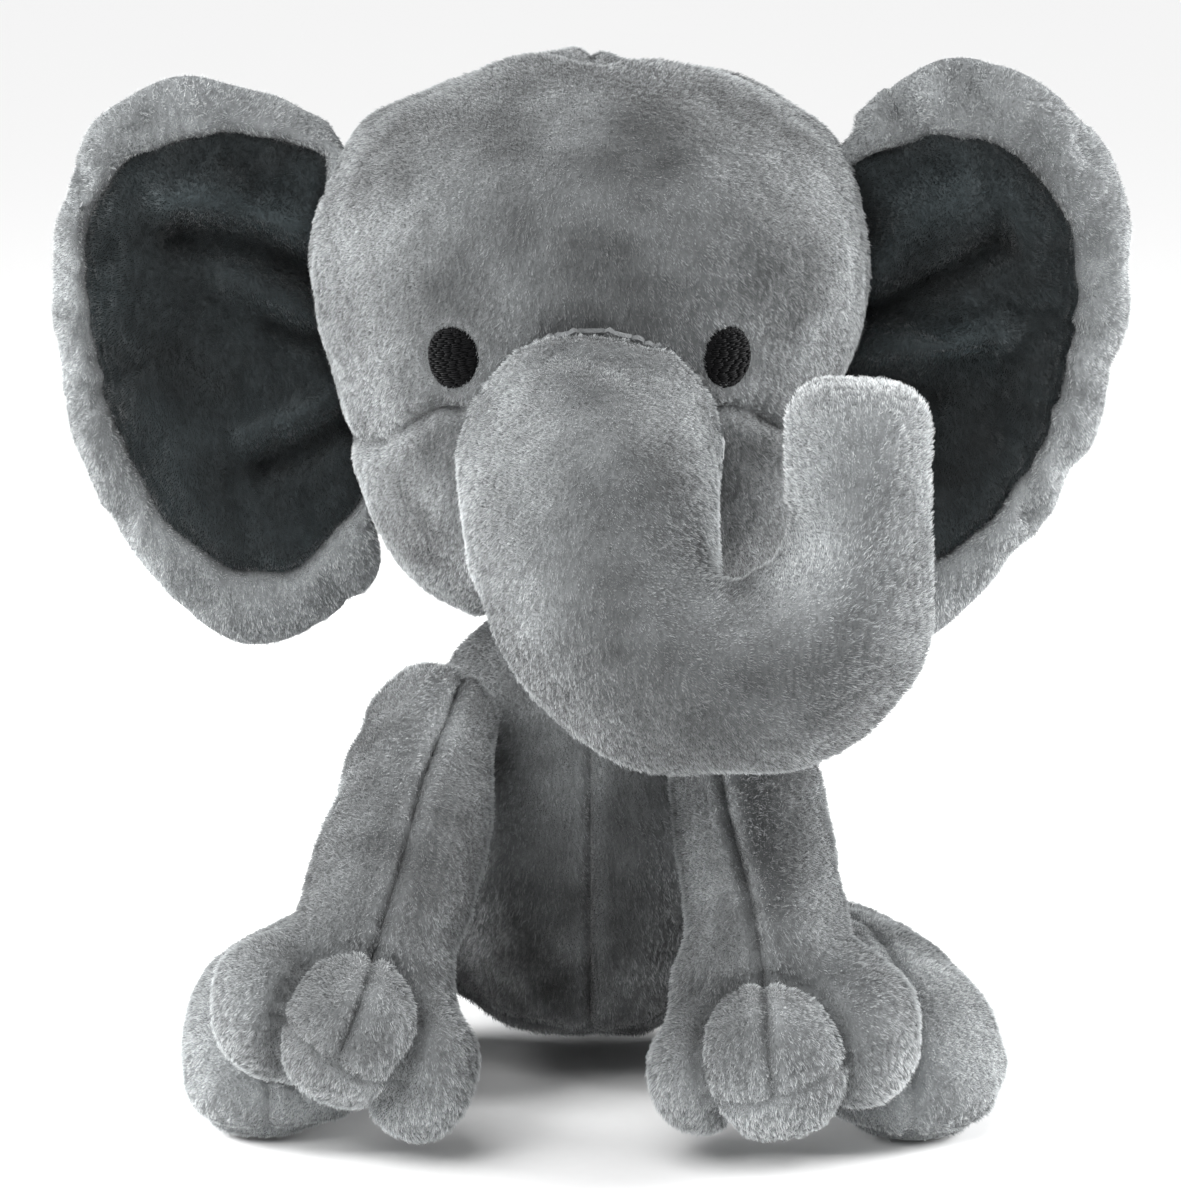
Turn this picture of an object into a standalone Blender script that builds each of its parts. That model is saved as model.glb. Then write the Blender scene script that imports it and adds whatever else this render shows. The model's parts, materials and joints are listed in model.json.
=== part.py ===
"""Seated plush elephant, modelled as the sewn pieces it is made of.

Every stuffed form (head, torso, trunk, arms, legs, tail) is described once as a grid of
points on its outer surface, rows along the form and columns round it. The cloth panels are
shells between that surface and an offset of it, the stuffing is the space inside, and each
panel stops a hair short of its seam.
Lengths are in millimetres until a mesh is made. +Z is up, the elephant looks along -Y,
its own left side is +X, and the origin is on the resting plane under the seat.
"""

import math

import bmesh
import bpy
import numpy as np
from mathutils import Vector

for old in list(bpy.data.objects):
    bpy.data.objects.remove(old)

# ---------------------------------------------------------------- driving dimensions (mm)
MM = 0.001            # one millimetre in metres
SKIN = 1.4            # plush cloth, backing and pile pressed flat
GAP = 0.45            # air between pieces that touch
SEAM = 0.3            # half the width of a seam line between two panels
POLE = 1.6            # how far short of a tip the panels that meet there stop
LIMB_CLEARANCE = 1.6  # room left for a limb in the form it leans on

NECK = np.array((0.0, 4.0, 92.0))  # ball that the head turns on
NECK_R = 24.0
SHOULDER = {"left": (33.0, -35.0, 86.0), "right": (-34.0, -35.0, 86.0)}
SHOULDER_R = 15.0
HIP = (54.0, 3.0, 22.0)            # left hip; the right one mirrors it
HIP_R = 20.0
TRUNK_JOINT = np.array((22.0, -97.0, 108.0))
TRUNK_R = 22.5
TAIL_ROOT = (0.0, 65.8, 31.0)
TAIL_R = 4.6

SIGN = {"left": 1, "right": -1}    # direction of each side along X
OTHER = {"left": "right", "right": "left"}


# ---------------------------------------------------------------- materials
def material(name, rgb, roughness):
    made = bpy.data.materials.new(name)
    made.use_nodes = True
    shader = made.node_tree.nodes["Principled BSDF"]
    shader.inputs["Base Color"].default_value = (*rgb, 1.0)
    shader.inputs["Roughness"].default_value = roughness
    made.diffuse_color = (*rgb, 1.0)
    return made


GREY = material("plush_grey", rgb=(0.26, 0.28, 0.29), roughness=0.95)
CHARCOAL = material("plush_charcoal", rgb=(0.035, 0.05, 0.055), roughness=0.95)
BLACK = material("embroidery_black", rgb=(0.008, 0.008, 0.01), roughness=0.6)
FILL = material("polyester_fill", rgb=(0.85, 0.85, 0.83), roughness=1.0)
BAG = material("pellet_bag_cotton", rgb=(0.75, 0.72, 0.66), roughness=0.9)


# ---------------------------------------------------------------- mesh helpers
def make(name, points, faces, mat):
    """One closed mesh object from points in millimetres."""
    bm = bmesh.new()
    verts = [bm.verts.new(Vector(point) * MM) for point in points]
    for face in faces:
        bm.faces.new([verts[i] for i in face])
    # the coincident points of a grid row that closes to a tip become one
    bmesh.ops.remove_doubles(bm, verts=bm.verts, dist=2e-6)
    bmesh.ops.recalc_face_normals(bm, faces=bm.faces)
    if bm.calc_volume(signed=True) < 0:
        bmesh.ops.reverse_faces(bm, faces=bm.faces)
    mesh = bpy.data.meshes.new(name)
    bm.to_mesh(mesh)
    bm.free()
    mesh.shade_smooth()
    mesh.set_sharp_from_angle(angle=math.radians(50))
    mesh.materials.append(mat)
    ob = bpy.data.objects.new(name, mesh)
    bpy.context.scene.collection.objects.link(ob)
    return ob


def grid_triangles(rows, cols, wrap):
    """Two triangles for each cell of a grid."""
    for r in range(rows - 1):
        for c in range(cols if wrap else cols - 1):
            d = (c + 1) % cols
            corner, opposite = r * cols + c, (r + 1) * cols + d
            yield corner, r * cols + d, opposite
            yield corner, opposite, (r + 1) * cols + c


def slab(name, outer, inner, mat, wrap):
    """Closed solid between two grids of the same size, rows x columns x 3."""
    rows, cols = outer.shape[:2]
    points = np.concatenate([outer.reshape(-1, 3), inner.reshape(-1, 3)])
    back = rows * cols  # index of the inner grid's first point
    faces = []
    for triangle in grid_triangles(rows, cols, wrap):
        faces.append(triangle)
        faces.append(tuple(back + i for i in reversed(triangle)))
    for r, order in ((0, 1), (rows - 1, -1)):
        for c in range(cols if wrap else cols - 1):
            here, beside = r * cols + c, r * cols + (c + 1) % cols
            faces.append((beside, here, back + here, back + beside)[::order])
    if not wrap:
        for c, order in ((0, -1), (cols - 1, 1)):
            for r in range(rows - 1):
                here, above = r * cols + c, (r + 1) * cols + c
                faces.append((here, above, back + above, back + here)[::order])
    return make(name, points, faces, mat)


def blob(name, grid, mat):
    """Closed solid inside a grid that wraps round and ends in a point at both ends."""
    rows, cols = grid.shape[:2]
    return make(name, grid.reshape(-1, 3), grid_triangles(rows, cols, wrap=True), mat)


def cut_flat(ob, height, keep_above):
    """Cuts a solid at a height and closes it."""
    bm = bmesh.new()
    bm.from_mesh(ob.data)
    bmesh.ops.bisect_plane(
        bm, geom=bm.verts[:] + bm.edges[:] + bm.faces[:], dist=1e-7,
        plane_co=(0, 0, height * MM), plane_no=(0, 0, 1),
        clear_outer=not keep_above, clear_inner=keep_above,
    )
    rim = [edge for edge in bm.edges if len(edge.link_faces) == 1]
    bmesh.ops.holes_fill(bm, edges=rim, sides=0)
    bmesh.ops.recalc_face_normals(bm, faces=bm.faces)
    bm.to_mesh(ob.data)
    bm.free()


# ---------------------------------------------------------------- grids of points
def spline_rows(table, count):
    """A smooth Catmull-Rom reading of a table of rows at count even steps."""
    table = np.asarray(table, float)
    extended = np.vstack([2 * table[0] - table[1], table, 2 * table[-1] - table[-2]])
    out = []
    for place in np.linspace(0, len(table) - 1, count):
        i = min(int(place), len(table) - 2)
        f = place - i
        p0, p1, p2, p3 = extended[i : i + 4]
        out.append(
            0.5 * (2 * p1 + (p2 - p0) * f + (2 * p0 - 5 * p1 + 4 * p2 - p3) * f**2
                   + (3 * p1 - p0 - 3 * p2 + p3) * f**3)
        )
    return np.array(out)


def upright(stations, middle_y, columns, count):
    """Grid round a vertical axis; column 0 faces forward and columns run to the left side.

    Stations are (height, half width, front depth, back depth, squareness).
    """
    grid = np.zeros((count, columns, 3))
    for i, (z, half_width, front, back, squareness) in enumerate(spline_rows(stations, count)):
        half_width, front, back = max(half_width, 0.0), max(front, 0.0), max(back, 0.0)
        for j in range(columns):
            angle = 2 * math.pi * j / columns
            s, c = math.sin(angle), math.cos(angle)
            x = half_width * math.copysign(abs(s) ** (2 / squareness), s)
            y = -(front if c > 0 else back) * math.copysign(abs(c) ** (2 / squareness), c)
            grid[i, j] = (x, middle_y + y, z)
    return grid


def tube(path, columns, count, facing, start_cap, end_cap, cap_rows=3, turn_shares=()):
    """Grid along a path of (x, y, z, half width, half height), with domed ends.

    Column 0 is on the side turned to facing. A cap is the length of its dome, 0 for none.
    The first rings turn from facing -Y to the path's own direction by turn_shares.
    """
    table = spline_rows(path, count)
    centres, sizes = table[:, :3], table[:, 3:5]
    along = np.gradient(centres, axis=0)
    along /= np.linalg.norm(along, axis=1, keepdims=True)
    for i, share in enumerate(turn_shares):
        along[i] = share * along[i] + (1 - share) * np.array((0.0, -1.0, 0.0))
        along[i] /= np.linalg.norm(along[i])
    dome = [0.5 * math.pi * k / (cap_rows + 1) for k in range(cap_rows + 2)]
    rings = []
    if start_cap:
        for a in dome[:-1]:
            centre = centres[0] - along[0] * start_cap * math.cos(a)
            rings.append((centre, along[0], sizes[0] * math.sin(a)))
    rings += zip(centres, along, sizes)
    if end_cap:
        for a in dome[1:]:
            centre = centres[-1] + along[-1] * end_cap * math.sin(a)
            rings.append((centre, along[-1], sizes[-1] * math.cos(a)))
    facing = np.asarray(facing, float)
    grid = np.zeros((len(rings), columns, 3))
    for i, (centre, axis, (half_width, half_height)) in enumerate(rings):
        up = facing - (facing @ axis) * axis
        up /= np.linalg.norm(up)
        side = np.cross(axis, up)
        if half_width < 1e-6:  # the tip of a dome
            half_width, half_height = 0.0, 0.0
        for j in range(columns):
            a = 2 * math.pi * j / columns
            grid[i, j] = centre + side * half_width * math.sin(a) + up * half_height * math.cos(a)
    return grid


def onto_ball(points, centre, radius):
    """Moves points straight in or out onto a ball."""
    away = points - centre
    size = np.linalg.norm(away, axis=-1, keepdims=True)
    return centre + away / np.maximum(size, 1e-9) * radius


def out_of_ball(points, centre, radius):
    """Moves the points that are inside a ball out onto it."""
    size = np.linalg.norm(points - centre, axis=-1, keepdims=True)
    return np.where(size < radius, onto_ball(points, centre, radius), points)


def make_room(grid, paths):
    """Pushes points out of neighbours, each a chain of capsules (x, y, z, radius)."""
    for _ in range(4):  # a push out of one neighbour can lead into another
        for path in paths:
            path = np.asarray(path, float)
            if len(path) == 1:
                path = np.vstack([path, path])
            for start, end in zip(path[:-1], path[1:]):
                along = end[:3] - start[:3]
                share = ((grid - start[:3]) @ along) / max(along @ along, 1e-9)
                share = np.clip(share, 0, 1)[..., None]
                radius = start[3] + share * (end[3] - start[3])
                grid = out_of_ball(grid, start[:3] + share * along, radius)
    return grid


def limb_chain(stations):
    """Capsule chain round a limb, with its clearance."""
    return [(x, y, z, min(max(w, h), min(w, h) + 3.0) + LIMB_CLEARANCE)
            for x, y, z, w, h in stations]


def is_tip(row):
    return np.ptp(row, axis=0).max() < 1e-6


def outward_normals(grid):
    round_step = np.roll(grid, -1, axis=1) - np.roll(grid, 1, axis=1)
    normal = np.cross(round_step, np.gradient(grid, axis=0))
    normal = normal / np.maximum(np.linalg.norm(normal, axis=2)[..., None], 1e-9)
    middle = grid.reshape(-1, 3).mean(0)
    if ((grid - middle) * normal).sum(axis=2).mean() < 0:
        normal = -normal
    # a tip takes the facing of the ring next to it
    for tip, next_in in ((0, 1), (-1, -2)):
        if is_tip(grid[tip]):
            ring = grid[next_in] - grid[next_in].mean(0)
            face = np.cross(ring, np.roll(ring, -1, axis=0)).sum(0)
            face /= max(np.linalg.norm(face), 1e-9)
            if face @ normal[next_in].mean(0) < 0:
                face = -face
            normal[tip] = face
    return normal


def draw_back(rows, edge, next_in, distance, limit):
    """Moves an edge row towards its neighbour, by at most a share limit of the way."""
    step = rows[next_in] - rows[edge]
    size = np.linalg.norm(step, axis=1, keepdims=True)
    rows[edge] += step * np.minimum(limit, distance / np.maximum(size, 1e-6))


def between_seams(grid, first, last):
    """The columns first to last, drawn back from the seams at both sides."""
    part = grid[:, np.arange(first, last + 1) % grid.shape[1]]
    columns = part.swapaxes(0, 1)
    draw_back(columns, 0, 1, SEAM, limit=0.42)
    draw_back(columns, -1, -2, SEAM, limit=0.42)
    return part


class Form:
    """A stuffed form: its outer surface as a grid, with the direction out at each point."""

    def __init__(self, grid):
        self.grid = grid
        self.normal = outward_normals(grid)

    def layer(self, depth):
        """The surface this far under the outside."""
        return self.grid - self.normal * depth

    def panel(self, name, rows, cols=None, draw_start=True, draw_end=True):
        """A cloth panel over rows and columns (None: all round), short of its seams.

        draw_start and draw_end say whether the first and last rows are drawn back.
        """
        layers = []
        for depth in (0.0, SKIN):
            part = self.layer(depth)[rows[0] : rows[1] + 1].copy()
            for edge, next_in, draw in ((0, 1, draw_start), (-1, -2, draw_end)):
                if draw:
                    distance = POLE if is_tip(part[edge]) else SEAM
                    draw_back(part, edge, next_in, distance, limit=0.45)
            if cols is not None:
                part = between_seams(part, *cols)
            layers.append(part)
        slab(name, *layers, GREY, wrap=cols is None)

    def filling(self, name, mat=FILL):
        return blob(name, self.layer(SKIN + GAP), mat)


# ---------------------------------------------------------------- limb paths
# Stations are x, y, z, half width, half height, from the joint to the paw or foot.
ARM = {
    "left": [
        (*SHOULDER["left"], SHOULDER_R, SHOULDER_R),
        (34.0, -44.0, 76.0, 16.4, 15.6),
        (35.6, -54.5, 64.5, 17.8, 16.2),
        (37.4, -65.5, 52.0, 19.4, 16.6),
        (39.0, -76.0, 40.0, 22.0, 17.0),
        (40.2, -84.5, 31.0, 25.6, 17.6),
        (40.6, -91.5, 25.6, 27.6, 18.0),
    ],
    "right": [
        (*SHOULDER["right"], SHOULDER_R, SHOULDER_R),
        (-36.5, -44.5, 76.0, 15.6, 15.4),
        (-40.0, -55.0, 65.0, 16.4, 16.0),
        (-44.5, -66.0, 53.0, 18.4, 16.4),
        (-48.6, -76.5, 41.5, 21.6, 17.0),
        (-51.8, -85.0, 32.5, 25.4, 17.6),
        (-53.2, -92.0, 27.0, 27.4, 18.0),
    ],
}
LEFT_LEG = [
    (*HIP, HIP_R, HIP_R),
    (58.5, -13.0, 22.5, 22.0, 22.0),
    (62.5, -30.0, 21.8, 22.8, 22.2),
    (65.5, -46.0, 18.8, 22.4, 19.4),
    (67.2, -58.0, 14.4, 21.6, 15.4),
    (67.6, -67.0, 10.6, 20.0, 11.6),
]
LEG = {side: [(sign * x, *rest) for x, *rest in LEFT_LEG] for side, sign in SIGN.items()}

# ---------------------------------------------------------------- torso (seat, belly, back, neck)
TORSO_Y = 4.0
# height, half width, front depth, back depth, squareness
TORSO_STATIONS = [
    (0.0, 0.0, 0.0, 0.0, 2.0),
    (0.0, 13.0, 12.0, 14.0, 2.0),
    (0.0, 24.0, 23.0, 26.0, 2.0),
    (3.5, 30.0, 32.5, 37.0, 2.05),
    (12.0, 33.5, 40.5, 48.0, 2.1),
    (24.0, 35.5, 44.5, 55.0, 2.15),
    (36.0, 38.5, 45.5, 57.0, 2.15),
    (47.0, 42.5, 44.5, 55.5, 2.15),
    (58.0, 43.5, 42.5, 52.0, 2.1),
    (69.0, 41.0, 39.5, 47.5, 2.05),
    (79.0, 37.5, 36.0, 42.0, 2.0),
    (88.0, 33.5, 31.5, 36.0, 2.0),
    (95.0, 29.5, 27.5, 30.0, 2.0),
    (102.0, 23.0, 22.5, 23.0, 2.0),
    (108.0, 17.9, 17.9, 17.9, 2.0),
    (113.0, 11.6, 11.6, 11.6, 2.0),
    (116.0, 0.0, 0.0, 0.0, 2.0),
]
TORSO_COLUMNS = 28
BASE_ROW, TORSO_TOP_ROW = 3, 17  # grid rows where the side panels start and stop
# columns: 0 faces forward, 7 the elephant's left (+X), 14 back, 21 right
TORSO_QUARTERS = {
    "front_left": (0, 7),
    "front_right": (21, 28),
    "back_left": (7, 14),
    "back_right": (14, 21),
}
NECK_DOME_Z = 101.5   # the torso follows the neck ball above this height
BAG_TOP = 27.0        # height of the pellet bag in the seat


def build_torso():
    grid = upright(TORSO_STATIONS, TORSO_Y, TORSO_COLUMNS, count=19)
    grid[:3, :, 2] = 0.0  # flat seat
    neighbours = [limb_chain(path[:4]) for path in (*ARM.values(), *LEG.values())]
    neighbours.append([(*TAIL_ROOT, TAIL_R + LIMB_CLEARANCE)])
    grid = make_room(grid, neighbours)
    grid = np.where(grid[..., 2:] > NECK_DOME_Z, onto_ball(grid, NECK, NECK_R), grid)
    torso = Form(grid)

    torso.panel("torso_base_panel", (0, BASE_ROW), draw_start=False)
    for quarter, cols in TORSO_QUARTERS.items():
        torso.panel(f"torso_{quarter}_panel", (BASE_ROW, TORSO_TOP_ROW), cols, draw_end=False)
    cut_flat(torso.filling("torso_stuffing"), BAG_TOP + GAP, keep_above=True)
    cut_flat(torso.filling("seat_pellet_bag", BAG), BAG_TOP, keep_above=False)


build_torso()

# ---------------------------------------------------------------- neck seam band
BAND_OUTER_R, BAND_INNER_R = NECK_R + 1.9, NECK_R + 0.8
BAND_HEIGHTS = (103.5, 106.0, 108.5, 110.5)


def neck_ball_rings(ball_radius):
    grid = np.zeros((len(BAND_HEIGHTS), TORSO_COLUMNS, 3))
    for i, z in enumerate(BAND_HEIGHTS):
        radius = math.sqrt(ball_radius**2 - (z - NECK[2]) ** 2)
        for j in range(TORSO_COLUMNS):
            a = 2 * math.pi * j / TORSO_COLUMNS
            grid[i, j] = (radius * math.sin(a), NECK[1] - radius * math.cos(a), z)
    return grid


slab("neck_seam_band", neck_ball_rings(BAND_OUTER_R), neck_ball_rings(BAND_INNER_R), GREY,
     wrap=True)

# ---------------------------------------------------------------- head
HEAD_Y = 2.0
# height, half width, front depth, back depth, squareness
HEAD_STATIONS = [
    (103.0, 0.0, 0.0, 0.0, 2.0),
    (103.2, 13.0, 12.0, 12.0, 2.0),
    (104.6, 25.5, 23.0, 22.0, 2.0),
    (108.6, 36.0, 35.0, 31.0, 2.1),
    (115.5, 44.2, 45.0, 38.0, 2.2),
    (125.5, 50.5, 52.5, 44.0, 2.3),
    (137.5, 54.0, 56.0, 49.5, 2.35),
    (148.5, 55.6, 55.5, 52.5, 2.4),
    (158.5, 58.6, 56.0, 54.5, 2.4),
    (170.0, 62.0, 56.8, 56.0, 2.4),
    (182.0, 63.7, 57.0, 56.0, 2.4),
    (193.0, 63.0, 55.5, 54.5, 2.4),
    (204.0, 59.8, 52.0, 51.0, 2.4),
    (213.0, 54.6, 46.0, 45.0, 2.35),
    (220.0, 46.0, 38.0, 37.5, 2.25),
    (226.0, 33.0, 27.5, 27.5, 2.15),
    (230.8, 17.0, 14.5, 14.5, 2.05),
    (233.0, 0.0, 0.0, 0.0, 2.0),
]
HEAD_NECK_CLEARANCE = 3.0
CHEEK_SEAM_Z = 149.5  # the seam over the cheeks runs along the grid row nearest this
HEAD_GRID = upright(HEAD_STATIONS, HEAD_Y, columns=24, count=21)
HEAD_ROW_Z = HEAD_GRID[:, 0, 2]


def build_head():
    head = Form(make_room(HEAD_GRID, [[(*NECK, NECK_R + HEAD_NECK_CLEARANCE)]]))
    cheek = int(np.argmin(np.abs(HEAD_ROW_Z - CHEEK_SEAM_Z)))
    bottom, top = 3, len(HEAD_GRID) - 1
    # columns: 0 faces forward, 6 the elephant's left, 12 back, 18 right
    head.panel("forehead_panel", (cheek, top), (-5, 5))
    head.panel("head_back_left_panel", (bottom, top), (5, 12), draw_start=False)
    head.panel("head_back_right_panel", (bottom, top), (12, 19), draw_start=False)
    head.panel("cheek_left_panel", (bottom, cheek), (2, 5), draw_start=False)
    head.panel("cheek_right_panel", (bottom, cheek), (19, 22), draw_start=False)
    head.panel("chin_panel", (bottom, cheek), (-2, 2), draw_start=False)
    head.filling("head_stuffing")


def face_line(z):
    """The front half of the head's outline at a height, from its right to its left."""
    i = int(np.clip(np.searchsorted(HEAD_ROW_Z, z) - 1, 0, len(HEAD_ROW_Z) - 2))
    share = (z - HEAD_ROW_Z[i]) / max(HEAD_ROW_Z[i + 1] - HEAD_ROW_Z[i], 1e-9)
    share = np.clip(share, 0, 1)
    ring = HEAD_GRID[i] * (1 - share) + HEAD_GRID[i + 1] * share
    return ring[list(range(-6, 7))]


build_head()

# ---------------------------------------------------------------- eyes
EYE_X, EYE_Z = 30.4, 169.2
EYE_HALF_WIDTH, EYE_HALF_HEIGHT = 5.3, 6.6
EYE_COLUMNS = 16
EYE_RINGS = (0.0, 0.45, 0.8, 1.0)  # shares of the way from the middle to the edge
EYE_LIFT = 0.75                    # height of the eye's underside over the head
EYE_EDGE, EYE_BULGE = 0.25, 0.9    # thickness at the edge, and what the middle adds
EYE_AIM = np.array((0.0, HEAD_Y, 165.0))  # the eyes rise away from this point in the head


def off_head(x, z, rise):
    """A point of the head's front at this x and z, moved out of the surface by rise."""
    line = face_line(z)
    point = np.array((x, np.interp(x, line[:, 0], line[:, 1]), z))
    out = point - EYE_AIM
    out[2] *= 0.6  # keeps the direction nearer level
    return point + out / np.linalg.norm(out) * rise


def eye_layer(sign, rise_at):
    grid = np.zeros((len(EYE_RINGS), EYE_COLUMNS, 3))
    for i, share in enumerate(EYE_RINGS):
        for j in range(EYE_COLUMNS):
            a = 2 * math.pi * j / EYE_COLUMNS
            x = sign * EYE_X + EYE_HALF_WIDTH * share * math.cos(a)
            z = EYE_Z + EYE_HALF_HEIGHT * share * math.sin(a)
            grid[i, j] = off_head(x, z, rise_at(share))
    return grid


def eye_top(share):
    return EYE_LIFT + EYE_EDGE + EYE_BULGE * math.sqrt(1 - share**2.4)


def eye_underside(share):
    return EYE_LIFT


for side, sign in SIGN.items():
    slab(f"eye_{side}_embroidery", eye_layer(sign, eye_top), eye_layer(sign, eye_underside),
         BLACK, wrap=True)

# ---------------------------------------------------------------- trunk
# The upper trunk is sewn round the middle of the face and hangs forwards and down;
# the lower trunk curls up on the elephant's left.
# Stations are x, y, z, half width, half height.
UPPER_TRUNK = [
    (0.5, -55.0, 146.0, 29.6, 28.2),
    (0.6, -64.5, 141.0, 29.6, 28.2),
    (1.2, -75.0, 132.8, 28.8, 27.0),
    (3.0, -83.5, 124.4, 27.2, 25.4),
    (7.0, -90.5, 116.6, 25.4, 24.2),
]
LOWER_TRUNK = [
    (*TRUNK_JOINT, TRUNK_R, TRUNK_R),
    (34.0, -99.5, 108.4, 22.0, 22.0),
    (44.6, -100.5, 112.6, 21.2, 21.2),
    (52.4, -100.0, 121.4, 19.4, 19.8),
    (56.0, -98.8, 133.0, 17.0, 18.2),
    (56.2, -97.6, 145.5, 16.4, 17.4),
    (55.6, -96.6, 156.5, 16.2, 16.8),
]
TRUNK_COLUMNS = 16
TRUNK_HALVES = {"front": (-4, 4), "back": (4, 12)}  # columns of the two panels
TRUNK_TIP = 15.5                 # length of the domed tip
FACE_GAP = 1.3                   # between the head and the upper trunk's cloth
ROOT_FILL_GAP = 1.0              # between the head and the upper trunk's stuffing
JOINT_CLEAR_R = TRUNK_R + 1.3    # hollow in the upper trunk for the lower one
DISH_FILL_R = JOINT_CLEAR_R + 0.3


def off_the_face(points, gap):
    """Moves points forwards until they are clear of the front of the head."""
    out = points.copy()
    for point in out.reshape(-1, 3):
        line = face_line(point[2])
        if abs(point[0]) < line[-1, 0]:
            point[1] = min(point[1], np.interp(point[0], line[:, 0], line[:, 1]) - gap)
    return out


def fitted(points):
    """Clears points of the face and of the ball that the lower trunk turns on."""
    return out_of_ball(off_the_face(points, FACE_GAP), TRUNK_JOINT, JOINT_CLEAR_R)


def upper_trunk_stuffing(core):
    """Stuffing in a ring grid core: flat against the face at its root, dished at its end."""
    middle = core[0].mean(0)
    root = np.array([middle + (core[0] - middle) * share for share in (0.0, 0.4, 0.75)])
    root = off_the_face(root, ROOT_FILL_GAP)

    # the last ring is carried over the joint ball to the point that faces back up the trunk
    back = np.array(UPPER_TRUNK[-1][:3]) - TRUNK_JOINT
    back /= np.linalg.norm(back)
    from_ball = core[-1] - TRUNK_JOINT
    distance = np.linalg.norm(from_ball, axis=1, keepdims=True)
    along_back = (from_ball @ back)[:, None]
    start_angle = np.arcsin(along_back / distance)
    sideways = from_ball - along_back * back
    sideways /= np.linalg.norm(sideways, axis=1, keepdims=True)
    dish = []
    for share in (0.35, 0.7, 1.0):
        angle = start_angle + (math.pi / 2 - start_angle) * share
        radius = distance + (DISH_FILL_R - distance) * min(1.0, share * 2.5)
        dish.append(TRUNK_JOINT + radius * (np.cos(angle) * sideways + np.sin(angle) * back))
    dish[-1][:] = dish[-1].mean(0)
    blob("trunk_upper_stuffing", np.concatenate([root, core, np.array(dish)]), FILL)


def build_upper_trunk():
    grid = tube(UPPER_TRUNK, TRUNK_COLUMNS, count=7, facing=(0, -1, 1.2), start_cap=0,
                end_cap=0, turn_shares=(0.0, 0.3, 0.6, 0.85))
    form = Form(fitted(grid))
    form.normal[0] = form.normal[1]  # the ring on the face is bent too much to give its own
    outside, inside = (fitted(form.layer(depth)) for depth in (0.0, SKIN))
    for half, cols in TRUNK_HALVES.items():
        slab(f"trunk_upper_{half}_panel", between_seams(outside, *cols),
             between_seams(inside, *cols), GREY, wrap=False)
    upper_trunk_stuffing(fitted(form.layer(SKIN + GAP)))


def build_lower_trunk():
    form = Form(tube(LOWER_TRUNK, TRUNK_COLUMNS, count=9, facing=(0, -1, 0.25),
                     start_cap=TRUNK_R, end_cap=TRUNK_TIP))
    last_row = len(form.grid) - 1
    for half, cols in TRUNK_HALVES.items():
        form.panel(f"trunk_lower_{half}_panel", (1, last_row), cols, draw_start=False)
    form.filling("trunk_lower_stuffing")


build_upper_trunk()
build_lower_trunk()

# ---------------------------------------------------------------- ears
# Outlines are (distance out from the middle, height), going round from the top of the root.
EAR_OUTER = {
    "left": [
        (58.5, 217.5), (66.0, 224.5), (75.6, 229.1), (87.0, 231.0), (98.5, 228.5),
        (110.0, 221.0), (117.5, 211.5), (122.0, 199.0), (123.8, 186.0), (122.8, 171.0),
        (120.2, 154.0), (114.0, 138.0), (105.5, 122.5), (95.0, 109.0), (84.0, 99.5),
        (73.5, 94.8), (64.0, 97.0), (57.0, 104.5), (53.8, 113.5), (55.0, 124.0),
        (58.5, 137.0), (61.2, 150.0), (64.5, 162.0), (67.2, 174.0), (68.2, 186.0),
        (66.0, 198.0), (61.8, 209.0),
    ],
    "right": [
        (58.5, 216.5), (67.0, 221.5), (80.4, 225.2), (91.8, 226.8), (101.0, 225.0),
        (109.0, 220.5), (114.4, 213.5), (119.6, 201.2), (122.8, 187.2), (123.5, 170.9),
        (121.6, 154.3), (117.8, 140.0), (112.0, 126.7), (103.3, 112.7), (93.0, 101.6),
        (82.7, 95.4), (74.0, 94.6), (64.6, 97.5), (56.0, 106.0), (53.8, 114.5),
        (55.0, 124.0), (58.5, 137.0), (61.2, 150.0), (64.5, 162.0), (67.2, 174.0),
        (68.2, 186.0), (66.0, 198.0), (61.8, 208.5),
    ],
}
EAR_INNER = {
    "left": [
        (66.0, 205.0), (72.0, 210.5), (81.0, 212.6), (93.0, 210.0), (102.0, 202.0),
        (108.0, 191.5), (110.5, 177.5), (108.0, 160.0), (104.5, 146.5), (98.0, 133.0),
        (90.0, 123.5), (80.5, 115.8), (70.0, 113.5), (62.0, 118.0), (59.0, 125.5),
        (60.8, 137.0), (63.4, 150.0), (66.8, 162.0), (69.5, 174.0), (70.5, 186.0),
        (68.4, 197.0),
    ],
    "right": [
        (66.0, 208.0), (73.0, 212.0), (84.5, 213.0), (98.0, 210.5), (107.0, 205.0),
        (112.5, 196.5), (114.5, 185.0), (113.4, 169.0), (110.0, 153.0), (104.5, 137.5),
        (96.5, 126.0), (87.5, 118.0), (78.0, 114.8), (68.5, 116.5), (60.5, 124.5),
        (61.2, 137.0), (63.4, 150.0), (66.8, 162.0), (69.5, 174.0), (70.5, 186.0),
        (68.4, 197.5),
    ],
}
EAR_CENTRE = np.array((90.0, 163.0))
EAR_COLUMNS = 24
EAR_Y = 7.0                  # depth of the mid surface at the root
EAR_ROOT_X, EAR_REACH = 56.0, 68.0
EAR_HALF_HEIGHT = 62.0
EAR_EDGE, EAR_PAD = 2.0, 2.6  # half thickness at the edge, and what the middle adds
EAR_SKIN = 1.3
EAR_FILL_DEPTH = 1.62        # batting below the outside of the ear
EAR_FILL_INSET = 1.2         # batting in from the outline
EAR_MIN_RIM = 2.0
FRONT, BACK = -1, 1          # faces of the ear along Y


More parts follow.
